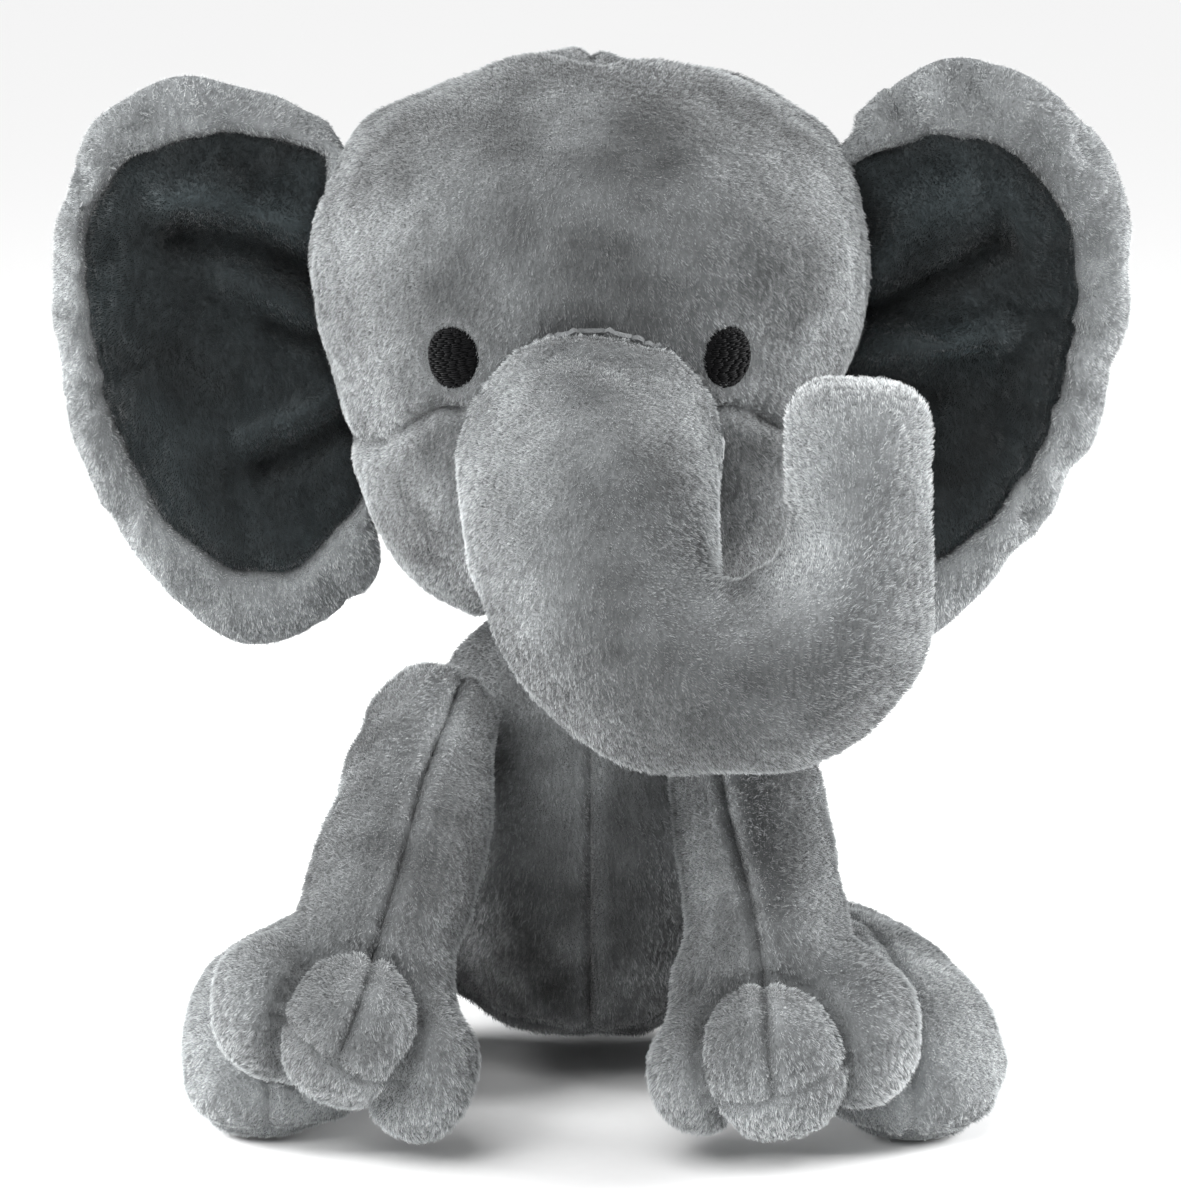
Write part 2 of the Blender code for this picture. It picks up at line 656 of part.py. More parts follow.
def ray_radius(outline, angle):
    """Distance from the ear's centre to a closed smooth outline, in one direction."""
    points = spline_rows(outline + [outline[0]], 6 * len(outline) + 1) - EAR_CENTRE
    ray = np.array((math.cos(angle), math.sin(angle)))
    across = np.array((-ray[1], ray[0]))
    farthest = 0.0
    for a, b in zip(points[:-1], points[1:]):
        side_a, side_b = a @ across, b @ across
        if side_a * side_b <= 0 and abs(side_a - side_b) > 1e-12:
            crossing = a + (b - a) * (side_a / (side_a - side_b))
            farthest = max(farthest, crossing @ ray)
    return farthest


def ear_middle(x, z):
    """Y of the ear's mid surface, which bends forwards at its outer side, top and bottom."""
    reach = np.clip((x - EAR_ROOT_X) / EAR_REACH, 0, 1.2)
    height = (z - EAR_CENTRE[1]) / EAR_HALF_HEIGHT
    return EAR_Y - 7.5 * reach**2 - 4.0 * reach * height**2 + 3.0 * reach


def build_ear(side):
    angles = 2 * math.pi * np.arange(EAR_COLUMNS) / EAR_COLUMNS
    outer = np.array([ray_radius(EAR_OUTER[side], a) for a in angles])
    inner = np.array([ray_radius(EAR_INNER[side], a) for a in angles])
    inner = np.minimum(inner, outer - EAR_MIN_RIM)

    def layer(radii, face, depth):
        """Rings at these radii, this deep under the front or back of the ear."""
        x = EAR_CENTRE[0] + radii * np.cos(angles)
        z = EAR_CENTRE[1] + radii * np.sin(angles)
        half = EAR_EDGE + EAR_PAD * np.sqrt(np.maximum(0.0, 1 - (radii / outer) ** 2))
        return np.stack((SIGN[side] * x, ear_middle(x, z) + face * (half - depth), z), axis=2)

    def cloth(name, radii, face, mat):
        slab(name, layer(radii, face, 0.0), layer(radii, face, EAR_SKIN), mat, wrap=True)

    rim_start = inner + GAP
    rim = rim_start + np.outer((0.0, 0.4, 0.75, 1.0), outer - rim_start)
    wad = np.outer((0.0, 0.4, 0.75, 0.97), outer)
    wad -= np.outer((0.0, 0.4, 0.75, 0.97), np.full(EAR_COLUMNS, EAR_FILL_INSET))
    cloth(f"ear_{side}_back_panel", np.outer((0.0, 0.4, 0.75, 0.93, 1.0), outer), BACK, GREY)
    cloth(f"ear_{side}_rim_panel", rim, FRONT, GREY)
    cloth(f"ear_{side}_inner_panel", np.outer((0.0, 0.45, 0.8, 1.0), inner), FRONT, CHARCOAL)
    slab(f"ear_{side}_batting", layer(wad, BACK, EAR_FILL_DEPTH),
         layer(wad, FRONT, EAR_FILL_DEPTH), FILL, wrap=True)


build_ear("left")
build_ear("right")

# ---------------------------------------------------------------- arms (front legs) with paws
# columns: 0 faces up and forward, 3 to 4 the elephant's right, 7 down and back
ARM_COLUMNS = 14
ARM_SIDES = {"right": (0, 5), "left": (9, 14)}
ARM_UNDERSIDE = (5, 9)
PAW_TIP = 17.0               # length of the domed end of the paw
# distance of the two toe grooves from the middle, their depth and their width
TOE_GROOVE, TOE_DEPTH, TOE_WIDTH = 12.0, 4.2, 3.4


def groove_toes(grid, centre):
    """Presses in the pull stitches either side of the middle toe."""
    axis = grid[-1, 0] - centre
    axis /= np.linalg.norm(axis)
    ring = grid[-5]  # the last ring before the domed end
    lateral = ring[4] - ring[10]
    lateral /= np.linalg.norm(lateral)
    across = (grid - centre) @ lateral
    forward = (grid - centre) @ axis
    fade = np.clip((forward + 9.0) / 14.0, 0, 1)  # none up the arm, full at the paw's end
    dip = sum(np.exp(-(((across - s * TOE_GROOVE) / TOE_WIDTH) ** 2)) for s in (-1, 1))
    return Form(grid).layer((dip * TOE_DEPTH * fade)[..., None])


def build_arm(side):
    grid = tube(ARM[side], ARM_COLUMNS, count=7, facing=(0, -1, 0.6), start_cap=SHOULDER_R,
                end_cap=PAW_TIP)
    form = Form(groove_toes(grid, np.array(ARM[side][-1][:3])))
    last_row = len(grid) - 1
    sole_row = last_row - 5
    for place, facing in (("outer", side), ("inner", OTHER[side])):
        form.panel(f"arm_{side}_{place}_panel", (1, last_row), ARM_SIDES[facing],
                   draw_start=False)
    form.panel(f"arm_{side}_back_panel", (1, sole_row), ARM_UNDERSIDE, draw_start=False)
    form.panel(f"paw_{side}_sole_panel", (sole_row, last_row), ARM_UNDERSIDE)
    form.filling(f"arm_{side}_stuffing")


build_arm("left")
build_arm("right")

# ---------------------------------------------------------------- hind legs
# columns: 0 faces up, 4 the elephant's right, 8 down, 12 left
LEG_COLUMNS = 16
LEG_SIDES = {"right": (0, 6), "left": (10, 16)}
LEG_UNDERSIDE = (6, 10)
FOOT_TIP = 14.0              # length of the domed end of the foot


def build_leg(side):
    grid = tube(LEG[side], LEG_COLUMNS, count=7, facing=(0, 0, 1), start_cap=HIP_R,
                end_cap=FOOT_TIP)
    grid = make_room(grid, [limb_chain(ARM[side])])
    grid[..., 2] = np.maximum(grid[..., 2], 0.0)  # flat where it rests
    form = Form(grid)
    rows = (1, len(grid) - 1)
    for place, cols in (("outer", LEG_SIDES[side]), ("inner", LEG_SIDES[OTHER[side]]),
                        ("sole", LEG_UNDERSIDE)):
        form.panel(f"leg_{side}_{place}_panel", rows, cols, draw_start=False)
    form.filling(f"leg_{side}_stuffing")


build_leg("left")
build_leg("right")

# ---------------------------------------------------------------- tail
# Stations are x, y, z, half width, half height.
TAIL = [
    (*TAIL_ROOT, TAIL_R, TAIL_R),
    (0.0, 67.5, 26.0, 4.4, 4.2),
    (0.0, 67.6, 20.0, 4.1, 3.8),
    (0.0, 66.8, 14.0, 4.3, 3.6),
    (0.0, 66.4, 9.5, 5.2, 3.8),
]
TAIL_TIP = 5.5               # length of the domed end


def build_tail():
    form = Form(tube(TAIL, columns=12, count=6, facing=(0, 1, 0.4), start_cap=TAIL_R,
                     end_cap=TAIL_TIP, cap_rows=2))
    form.panel("tail_panel", (1, len(form.grid) - 1), draw_start=False)
    form.filling("tail_stuffing")


build_tail()

bpy.context.view_layer.update()
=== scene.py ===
"""The looks of a seated plush elephant.

It sits on z = 0 and faces -Y, with its left side on +X. Its trunk curls across to +X and up.
Each stuffed form is a fine closed surface: the head and torso are turned profiles, the limbs and
trunk are smooth unions of sections along a path, the ears are quilted sheets. A surface is cut
along its sewing lines into cloth shells, drawn in at the seams, and given a short pile.
Lengths are in millimetres until a mesh is made. Each form is drawn in a nominal place, then
shifted to where the frame has it.
"""

import json
import math
from dataclasses import dataclass
from functools import partial
from typing import Callable

import bpy
import numpy as np
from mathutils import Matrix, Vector
from mathutils.kdtree import KDTree


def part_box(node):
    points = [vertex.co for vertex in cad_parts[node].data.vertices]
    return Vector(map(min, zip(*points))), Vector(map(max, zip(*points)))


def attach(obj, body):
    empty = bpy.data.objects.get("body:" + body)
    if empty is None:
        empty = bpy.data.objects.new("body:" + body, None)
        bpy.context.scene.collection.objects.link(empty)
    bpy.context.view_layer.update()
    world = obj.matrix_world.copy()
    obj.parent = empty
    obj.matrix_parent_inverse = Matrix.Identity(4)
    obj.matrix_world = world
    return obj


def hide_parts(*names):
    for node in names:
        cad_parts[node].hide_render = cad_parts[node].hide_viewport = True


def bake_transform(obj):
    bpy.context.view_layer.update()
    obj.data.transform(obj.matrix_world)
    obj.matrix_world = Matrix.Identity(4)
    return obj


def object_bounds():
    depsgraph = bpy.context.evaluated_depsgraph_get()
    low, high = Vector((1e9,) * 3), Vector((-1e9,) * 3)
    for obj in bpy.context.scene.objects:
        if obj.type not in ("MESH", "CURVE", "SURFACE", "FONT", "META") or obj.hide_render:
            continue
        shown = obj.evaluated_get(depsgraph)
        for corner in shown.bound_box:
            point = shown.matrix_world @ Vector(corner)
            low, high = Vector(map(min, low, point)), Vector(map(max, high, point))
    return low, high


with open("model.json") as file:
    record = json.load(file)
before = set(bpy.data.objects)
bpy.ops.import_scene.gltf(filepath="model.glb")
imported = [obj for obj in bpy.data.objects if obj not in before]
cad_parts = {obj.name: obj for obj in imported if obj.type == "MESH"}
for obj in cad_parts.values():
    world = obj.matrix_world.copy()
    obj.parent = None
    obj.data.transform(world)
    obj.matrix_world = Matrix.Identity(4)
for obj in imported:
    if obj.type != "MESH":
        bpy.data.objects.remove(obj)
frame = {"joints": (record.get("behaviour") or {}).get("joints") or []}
cad_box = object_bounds()

MM = 0.001             # metres in a millimetre
SIDES = {"left": 1, "right": -1}    # each side and the sign of its x
SKIN = 1.2             # thickness of the cloth shells
THIN_SKIN = 0.8        # the same for the ears, tail and neck ring
INSET = 1.0            # the cloth sits this far inside the form, as the pile stands proud of it
FACE_INSET = 1.9       # the same for the head and trunk
DIMPLE = 0.22          # usual depth of the fine unevenness
FLOOR_GAP = 0.35       # lowest height of the cloth above the floor
BALD_BELOW = 1.6       # cloth lower than this carries no pile


# ---------------------------------------------------------------- places read from the frame
def joint_at(name):
    joint = next(joint for joint in frame["joints"] if joint["name"] == name)
    return np.array(joint["pos_m"], float) * 1000


def box_of(*nodes):
    lows, highs = zip(*[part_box(node) for node in nodes])
    low = np.min([np.array(corner) for corner in lows], axis=0)
    high = np.max([np.array(corner) for corner in highs], axis=0)
    return low * 1000, high * 1000


def middle_of(*nodes):
    low, high = box_of(*nodes)
    return (low + high) / 2


NECK = joint_at("head_nod")
SHOULDER = {side: joint_at(f"arm_{side}_lift") for side in SIDES}
HIP = {side: joint_at(f"leg_{side}_spread") for side in SIDES}
CURL = joint_at("trunk_curl")
TAIL_ROOT = joint_at("tail_wag")


# ---------------------------------------------------------------- small tools
def curve_rows(table, count):
    """A smooth Catmull-Rom reading of a table of rows at count even steps."""
    rows = np.asarray(table, float)
    padded = np.vstack([2 * rows[0] - rows[1], rows, 2 * rows[-1] - rows[-2]])
    at = np.linspace(0, len(rows) - 1, count)
    row = np.minimum(at.astype(int), len(rows) - 2)
    part = (at - row)[:, None]
    before, start, end, after = (padded[row + k] for k in range(4))
    square = 2 * before - 5 * start + 4 * end - after
    cube = 3 * start - before - 3 * end + after
    return 0.5 * (2 * start + (end - before) * part + square * part**2 + cube * part**3)


def smooth_step(x):
    x = np.clip(x, 0, 1)
    return x * x * (3 - 2 * x)


def bell(*offsets):
    """1 where every offset is 0, fading to nothing by about 2."""
    return np.exp(-sum(offset**2 for offset in offsets))


def bump(points, centre, height, size):
    return height * np.exp(-(((points - np.array(centre, float)) / size) ** 2).sum(1))


def columns(*parts):
    return np.stack(np.broadcast_arrays(*parts), axis=-1)


def lengths(vectors):
    return np.linalg.norm(vectors, axis=1, keepdims=True)


def reading(pairs):
    """Reads a table of (place, value) pairs in straight steps."""
    places, values = zip(*sorted(pairs))
    return lambda at: np.interp(at, places, values)


def smooth_min(first, second, blend):
    h = np.maximum(blend - np.abs(first - second), 0) / blend
    return np.minimum(first, second) - h * h * blend / 4


def ellipsoid(points, centre, radii):
    """Distance to an ellipsoid, near enough, negative inside."""
    scaled = (points - np.asarray(centre, float)) / np.asarray(radii, float)
    share = np.linalg.norm(scaled, axis=1)
    slope = np.linalg.norm(scaled / np.asarray(radii, float), axis=1)
    return share * (share - 1) / np.maximum(slope, 1e-9)


def clear_ball(points, centre, radius):
    """Pushes points out of a ball."""
    away = points - centre
    size = lengths(away)
    return np.where(size < radius, centre + away / size * radius, points)


class Waves:
    """A smooth, repeatable unevenness with lumps of about the given size."""

    COUNT = 30

    def __init__(self, seed, size):
        rng = np.random.default_rng(seed)
        ways = rng.normal(size=(self.COUNT, 3))
        ways /= lengths(ways)
        self.waves = ways * (2 * math.pi / size) * rng.uniform(0.55, 1.5, (self.COUNT, 1))
        self.phases = rng.uniform(0, 2 * math.pi, self.COUNT)

    def __call__(self, points):
        total = np.sin(points @ self.waves.T + self.phases).sum(1)
        return total / math.sqrt(self.COUNT / 2)


LUMPS = Waves(11, 42.0)
DIMPLES = Waves(12, 17.0)
BLOTCHES = Waves(13, 30.0)
FINE_BLOTCHES = Waves(14, 9.0)


def mottle(points):
    """Uneven brightness of brushed cloth, around 1."""
    return 1 + 0.13 * np.clip(BLOTCHES(points), -2, 2) + 0.08 * FINE_BLOTCHES(points)


# ---------------------------------------------------------------- surfaces
# Faces are rows of four corners. A triangle repeats its last corner.
def normals_of(points, faces):
    across = points[faces[:, 2]] - points[faces[:, 0]]
    face_normals = np.cross(across, points[faces[:, 3]] - points[faces[:, 1]])
    total = np.zeros_like(points)
    for corner in faces.T:
        for axis in range(3):
            weights = face_normals[:, axis]
            total[:, axis] += np.bincount(corner, weights=weights, minlength=len(points))
    return total / np.maximum(lengths(total), 1e-12)


def gradient_of(field, points, step=0.3):
    value = field(points)
    slope = np.zeros_like(points)
    for axis in range(3):
        moved = points.copy()
        moved[:, axis] += step
        slope[:, axis] = (field(moved) - value) / step
    return value, slope


def edges_of(faces):
    """Every face's sides, each in its face's direction."""
    return np.concatenate([faces[:, [k, (k + 1) % 4]] for k in range(4)])


def neighbours(faces, count):
    """The surface's edges, each once, and how many meet at each point."""
    edges = np.sort(edges_of(faces), axis=1)
    edges = np.unique(edges[edges[:, 0] != edges[:, 1]], axis=0)
    return edges, np.maximum(np.bincount(edges.ravel(), minlength=count), 1)


def neighbour_sum(values, edges):
    first, second = edges.T
    total = np.bincount(first, weights=values[second], minlength=len(values))
    return total + np.bincount(second, weights=values[first], minlength=len(values))


def relax(points, faces, rounds, share=0.5):
    """Evens out the spacing of a surface's points without moving them off it."""
    edges, degree = neighbours(faces, len(points))
    for _ in range(rounds):
        total = np.stack([neighbour_sum(points[:, axis], edges) for axis in range(3)], axis=1)
        move = (total / degree[:, None] - points) * share
        normals = normals_of(points, faces)
        points = points + move - normals * (move * normals).sum(1, keepdims=True)
    return points


def even_out(values, faces, rounds):
    """Smooths a number held at a surface's points."""
    edges, degree = neighbours(faces, len(values))
    for _ in range(rounds):
        values = 0.5 * values + 0.5 * neighbour_sum(values, edges) / degree
    return values


def surface_nets(field, low, high, step):
    """Points and quads over the zero level of a field that is negative inside."""
    low, high = np.asarray(low, float), np.asarray(high, float)
    dims = np.ceil((high - low) / step).astype(int) + 1
    axes = [low[axis] + step * np.arange(dims[axis]) for axis in range(3)]
    grid = np.stack(np.meshgrid(*axes, indexing="ij"), axis=-1).reshape(-1, 3)
    chunk = 60000
    values = [field(grid[i : i + chunk]) for i in range(0, len(grid), chunk)]
    values = np.concatenate(values).reshape(dims)
    inside = values < 0
    corners = list(np.ndindex(2, 2, 2))
    wide, deep, tall = dims - 1
    count = np.zeros(dims - 1, np.int8)
    for i, j, k in corners:
        count += inside[i : i + wide, j : j + deep, k : k + tall]
    active = (count > 0) & (count < 8)
    index = np.full(dims - 1, -1, int)
    cells = np.argwhere(active)
    index[active] = np.arange(len(cells))

    # a cell's point is the mean of the crossings on its edges
    total = np.zeros((len(cells), 3))
    times = np.zeros((len(cells), 1))
    for corner in corners:
        for axis in range(3):
            if corner[axis]:
                continue
            other = list(corner)
            other[axis] = 1
            start, end = cells + corner, cells + other
            at_start, at_end = values[tuple(start.T)], values[tuple(end.T)]
            cross = (at_start < 0) != (at_end < 0)
            part = np.where(cross, at_start / np.where(cross, at_start - at_end, 1), 0)
            point = start.astype(float)
            point[:, axis] += part
            total += point * cross[:, None]
            times += cross[:, None]

    # one quad round each grid edge that passes through the surface
    faces = []
    for axis in range(3):
        second, third = (axis + 1) % 3, (axis + 2) % 3
        change = np.diff(inside, axis=axis)
        for side in (second, third):
            np.moveaxis(change, side, 0)[[0, -1]] = False
        at = np.argwhere(change)
        enters = inside[tuple(at.T)]
        quads = []
        for d_second, d_third in ((-1, -1), (0, -1), (0, 0), (-1, 0)):
            cell = at.copy()
            cell[:, second] += d_second
            cell[:, third] += d_third
            quads.append(index[tuple(cell.T)])
        quads = np.stack(quads, axis=1)
        quads[~enters] = quads[~enters][:, ::-1]
        faces.append(quads)
    return low + step * total / times, np.concatenate(faces)


def onto(field, points):
    """Moves points onto the field's zero level."""
    rounds, most = 3, 0.8
    for _ in range(rounds):
        value, slope = gradient_of(field, points)
        steep = np.maximum((slope**2).sum(1), 0.04)
        points = points - np.clip(value / steep, -most, most)[:, None] * slope
    return points


def sphere_quads(count):
    """Directions and quads of a cube's faces blown up to a sphere, count quads to a cube's edge."""
    ticks = np.tan(np.linspace(-1, 1, count + 1) * math.pi / 4)
    points, faces = [], []
    for axis in range(3):
        for sign in (-1, 1):
            second, third = np.meshgrid(ticks, ticks, indexing="ij")
            side = np.zeros((count + 1, count + 1, 3))
            side[..., axis] = sign
            side[..., (axis + 1) % 3] = second * sign
            side[..., (axis + 2) % 3] = third
            base = len(points) * (count + 1) ** 2
            i, j = np.meshgrid(np.arange(count), np.arange(count), indexing="ij")
            first = base + i * (count + 1) + j
            quads = columns(first, first + count + 1, first + count + 2, first + 1)
            faces.append(quads.reshape(-1, 4))
            points.append(side.reshape(-1, 3))
    points = np.concatenate(points)
    points /= lengths(points)
    faces = np.concatenate(faces)
    _, kept, to = np.unique(np.round(points, 5), axis=0, return_index=True, return_inverse=True)
    return points[kept], to.reshape(-1)[faces]


def star(centre, inside, count):
    """Surface of a shape that can be seen whole from its centre."""
    ways, faces = sphere_quads(count)
    near, far = np.zeros(len(ways)), np.full(len(ways), 130.0)
    for _ in range(26):
        middle = (near + far) / 2
        within = inside(centre + ways * middle[:, None])
        near, far = np.where(within, middle, near), np.where(within, far, middle)
    return centre + ways * near[:, None], faces


def grid_quads(rows, cols):
    """Quads of a grid of points whose rows close into rings."""
    i, j = np.meshgrid(np.arange(rows - 1), np.arange(cols), indexing="ij")
    k = (j + 1) % cols
    above = (i + 1) * cols
    return columns(i * cols + j, i * cols + k, above + k, above + j).reshape(-1, 4)


class Profile:
    """A turned form, from rows of z, half width, depth to front, depth to back, squareness."""

    def __init__(self, rows, middle_y):
        table = curve_rows(rows, 1200)
        self.heights = np.maximum.accumulate(table[:, 0])
        self.columns = table[:, 1:].T
        self.bottom, self.top = rows[0][0], rows[-1][0]
        self.middle_y = middle_y

    def at(self, z):
        least = (1e-3, 1e-3, 1e-3, 1.5)
        return [np.maximum(np.interp(z, self.heights, column), low)
                for column, low in zip(self.columns, least)]

    def holds(self, points):
        x, y, z = points.T
        width, front, back, power = self.at(z)
        y = y - self.middle_y
        share = np.abs(x / width) ** power + np.abs(y / np.where(y < 0, front, back)) ** power
        return (share < 1) & (z > self.bottom) & (z < self.top)


class Tube:
    """A stuffed tube along rows of x, y, z, radius. facing points to its front, whole or by row."""

    def __init__(self, rows, count, facing):
        table = curve_rows(rows, count)
        self.centres, self.radii = table[:, :3], table[:, 3]
        along = np.gradient(self.centres, axis=0)
        self.along = along / np.linalg.norm(along, axis=1)[:, None]
        steps = np.linalg.norm(np.diff(self.centres, axis=0), axis=1)
        self.length = np.concatenate([[0], np.cumsum(steps)])
        facing = np.asarray(facing, float)
        if facing.ndim == 2:
            facing = curve_rows(facing, count)
        facing = np.broadcast_to(facing, self.centres.shape)
        front = facing - (facing * self.along).sum(1, keepdims=True) * self.along
        self.front = front / lengths(front)
        self.side = np.cross(self.along, self.front)

    def nearest(self, points):
        """Distance to the tube, and the nearest section."""
        best, at = np.empty(len(points)), np.empty(len(points), int)
        squares = (self.centres**2).sum(1)
        chunk = 30000
        for i in range(0, len(points), chunk):
            some = points[i : i + chunk]
            apart = (some**2).sum(1)[:, None] + squares - 2 * some @ self.centres.T
            gaps = np.sqrt(np.maximum(apart, 0)) - self.radii
            pick = gaps.argmin(1)
            at[i : i + chunk] = pick
            best[i : i + chunk] = gaps[np.arange(len(some)), pick]
        return best, at

    def local(self, points):
        """Distance forward, distance sideways, distance along the path, and the radius there."""
        _, at = self.nearest(points)
        offset = points - self.centres[at]
        forward = (offset * self.front[at]).sum(1)
        sideways = (offset * self.side[at]).sum(1)
        reach = self.length[at] + (offset * self.along[at]).sum(1)
        return forward, sideways, reach, self.radii[at]

    def reach(self, points):
        return self.local(points)[2]


# ---------------------------------------------------------------- meshes
def configure(thing, **settings):
    for name, value in settings.items():
        setattr(thing, name, value)


def mesh_object(name, points, faces, attributes=None, pile=None, sharp=None):
    """A mesh object from millimetres. pile marks the faces that carry pile."""
    faces = np.asarray(faces)
    triangle = faces[:, 2] == faces[:, 3]
    quad_count, triangle_count = (~triangle).sum(), triangle.sum()
    order = np.concatenate([faces[~triangle].ravel(), faces[triangle][:, :3].ravel()])
    triangle_starts = quad_count * 4 + np.arange(triangle_count) * 3
    starts = np.concatenate([np.arange(quad_count) * 4, triangle_starts])
    mesh = bpy.data.meshes.new(name)
    mesh.vertices.add(len(points))
    mesh.vertices.foreach_set("co", (points * MM).astype(np.float32).ravel())
    mesh.loops.add(len(order))
    mesh.loops.foreach_set("vertex_index", order.astype(np.int32))
    mesh.polygons.add(len(starts))
    mesh.polygons.foreach_set("loop_start", starts.astype(np.int32))
    mesh.update(calc_edges=True)
    if pile is not None:
        flags = np.concatenate([pile[~triangle], pile[triangle]])
        mesh.attributes.new("pile", "BOOLEAN", "FACE").data.foreach_set("value", flags)
    for key, values in (attributes or {}).items():
        kind, field = ("FLOAT", "value") if values.ndim == 1 else ("FLOAT_VECTOR", "vector")
        data = mesh.attributes.new(key, kind, "POINT").data
        data.foreach_set(field, values.astype(np.float32).ravel())
    mesh.validate()
    mesh.shade_smooth()
    if sharp:
        mesh.set_sharp_from_angle(angle=math.radians(sharp))
    return link_object(name, mesh)


def link_object(name, data):
    made = bpy.data.objects.new(name, data)
    bpy.context.scene.collection.objects.link(made)
    return made


def shell(name, points, normals, faces, attributes, bald=None, thick=SKIN):
    """A closed cloth shell over some faces of a surface. bald marks faces that carry no pile."""
    used = np.unique(faces)
    to = np.full(len(points), -1)
    to[used] = np.arange(len(used))
    outer = to[faces]
    count = len(used)
    edges = edges_of(outer)
    edges = edges[edges[:, 0] != edges[:, 1]]
    key = edges[:, 0] * count + edges[:, 1]
    back = edges[:, 1] * count + edges[:, 0]
    start, end = edges[~np.isin(key, back)].T
    walls = columns(end, start, start + count, end + count)
    inner = outer[:, ::-1] + count
    triangle = outer[:, 2] == outer[:, 3]
    inner[triangle] = outer[triangle][:, [2, 1, 0, 0]] + count
    quads = np.concatenate([outer, inner, walls])
    pile = np.zeros(len(quads), bool)
    pile[: len(outer)] = True if bald is None else ~bald
    both = {key: np.concatenate([values[used]] * 2) for key, values in attributes.items()}
    lining = points[used] - normals[used] * thick
    return mesh_object(name, np.concatenate([points[used], lining]), quads, both, pile, sharp=66)


# ---------------------------------------------------------------- sewing
@dataclass
class Seam:
    """A sewing line: the zero of line on the surface, where mask allows."""

    line: Callable
    mask: Callable = lambda points: 1.0
    border: bool = True     # whether it parts two panels
    depth: float = 1.3      # how far the cloth is drawn in
    width: float = 1.5      # half width of the groove
    ridge: float = 0.35     # rise of the cloth on both sides of the groove

    def distance(self, points, normals):
        """Distance to the line within the surface, the line's value and its slope."""
        value, slope = gradient_of(self.line, points, 0.25)
        slope = slope - normals * (slope * normals).sum(1, keepdims=True)
        return value / np.maximum(np.linalg.norm(slope, axis=1), 0.02), value, slope


def straighten(points, normals, faces, middles, mixed, seam, step):
    """Moves the points between two panels onto the seam that parts them."""
    over = seam.line(middles) > 0
    pick = np.intersect1d(faces[over], faces[~over])
    pick = pick[mixed[pick]]
    if len(pick) == 0:
        return
    for _ in range(2):
        _, value, slope = seam.distance(points[pick], normals[pick])
        move = -value[:, None] * slope / np.maximum((slope**2).sum(1), 1e-3)[:, None]
        points[pick] += move * np.minimum(1, 0.6 * step / np.maximum(lengths(move), 1e-9))


def sew(points, faces, seams, panel_of, inset=INSET, lumps=0.5, dimples=DIMPLE, extra=None,
        step=1.3, comb=(0, 0, -1), tone=0.0):
    """Cuts a surface into panels and draws it in at the seams.

    Gives the points, their normals, each face's panel and the attributes for shell().
    """
    middles = points[faces].mean(1)
    panels = panel_of(middles)
    low, high = np.full(len(points), 99), np.full(len(points), -1)
    for corner in faces.T:
        np.minimum.at(low, corner, panels)
        np.maximum.at(high, corner, panels)
    normals = normals_of(points, faces)
    for seam in seams:
        if seam.border:
            straighten(points, normals, faces, middles, low != high, seam, step)
    normals = normals_of(points, faces)
    lift = -inset + lumps * LUMPS(points) + dimples * DIMPLES(points)
    near = np.full(len(points), 30.0)
    pucker = 1 + 0.25 * np.clip(DIMPLES(points * 2.3), -1.6, 1.6)
    for seam in seams:
        away = np.abs(seam.distance(points, normals)[0])
        mask = seam.mask(points)
        lift -= mask * seam.depth * bell(away / seam.width) * pucker
        lift += mask * seam.ridge * bell((away - 2.4 * seam.width) / (1.5 * seam.width))
        near = np.minimum(near, np.where(mask > 0.4, away, 30.0))
    if extra is not None:
        lift += extra(points)
    points = points + normals * lift[:, None]
    normals = normals_of(points, faces)
    attributes = {
        "pile_len": 1 - 0.62 * bell(near / 1.1),
        # the pile's colour: random mottle, with a painted highlight on the ridges beside each seam
        # and painted shade down in its groove
        "tone": mottle(points) + tone + 0.14 * bell((near - 2.3) / 1.3) - 0.2 * bell(near / 0.9),
        "comb": np.broadcast_to(comb(points) if callable(comb) else comb, points.shape),
    }
    return points, normals, panels, attributes


# ---------------------------------------------------------------- node graphs
class Graph:
    """Builds nodes in a tree."""

    def __init__(self, tree):
        self.tree = tree

    def add(self, kind, inputs=None, **settings):
        """Adds a node. Inputs that are nodes or sockets are linked, the rest are values."""
        node = self.tree.nodes.new(kind)
        configure(node, **settings)
        for key, value in (inputs or {}).items():
            if isinstance(value, bpy.types.Node):
                value = value.outputs[0]
            if isinstance(value, bpy.types.NodeSocket):
                self.tree.links.new(value, node.inputs[key])
            else:
                node.inputs[key].default_value = value
        return node

    def math(self, operation, *values):
        return self.add("ShaderNodeMath", dict(enumerate(values)), operation=operation)

    def vector(self, operation, *values):
        return self.add("ShaderNodeVectorMath", dict(enumerate(values)), operation=operation)

    def scale(self, vector, by):
        return self.add("ShaderNodeVectorMath", {0: vector, "Scale": by}, operation="SCALE")

    def noise(self, vector, **inputs):
        return self.add("ShaderNodeTexNoise", {"Vector": vector, **inputs})

    def remap(self, value, to, source=(0.0, 1.0)):
        return self.add("ShaderNodeMapRange", {
            "Value": value, "From Min": source[0], "From Max": source[1],
            "To Min": to[0], "To Max": to[1]})

    def ramp(self, value, dark, light, places=(0.0, 1.0)):
        node = self.add("ShaderNodeValToRGB", {0: value})
        for element, colour, place in zip(node.color_ramp.elements, (dark, light), places):
            element.position = place
            element.color = (*colour, 1)
        return node

    def attribute(self, name, output):
        return self.add("ShaderNodeAttribute", attribute_name=name).outputs[output]

    def place(self):
        return self.add("ShaderNodeTexCoord").outputs["Object"]

    def bump(self, height, strength, distance):
        return self.add("ShaderNodeBump", {
            "Strength": strength, "Distance": distance, "Height": height})

    def principled(self, **inputs):
        """A principled surface. Underscores stand for the blanks in input names."""
        named = {key.replace("_", " "): value for key, value in inputs.items()}
        return self.add("ShaderNodeBsdfPrincipled", named)

    def output(self, surface):
        self.add("ShaderNodeOutputMaterial", {"Surface": surface})


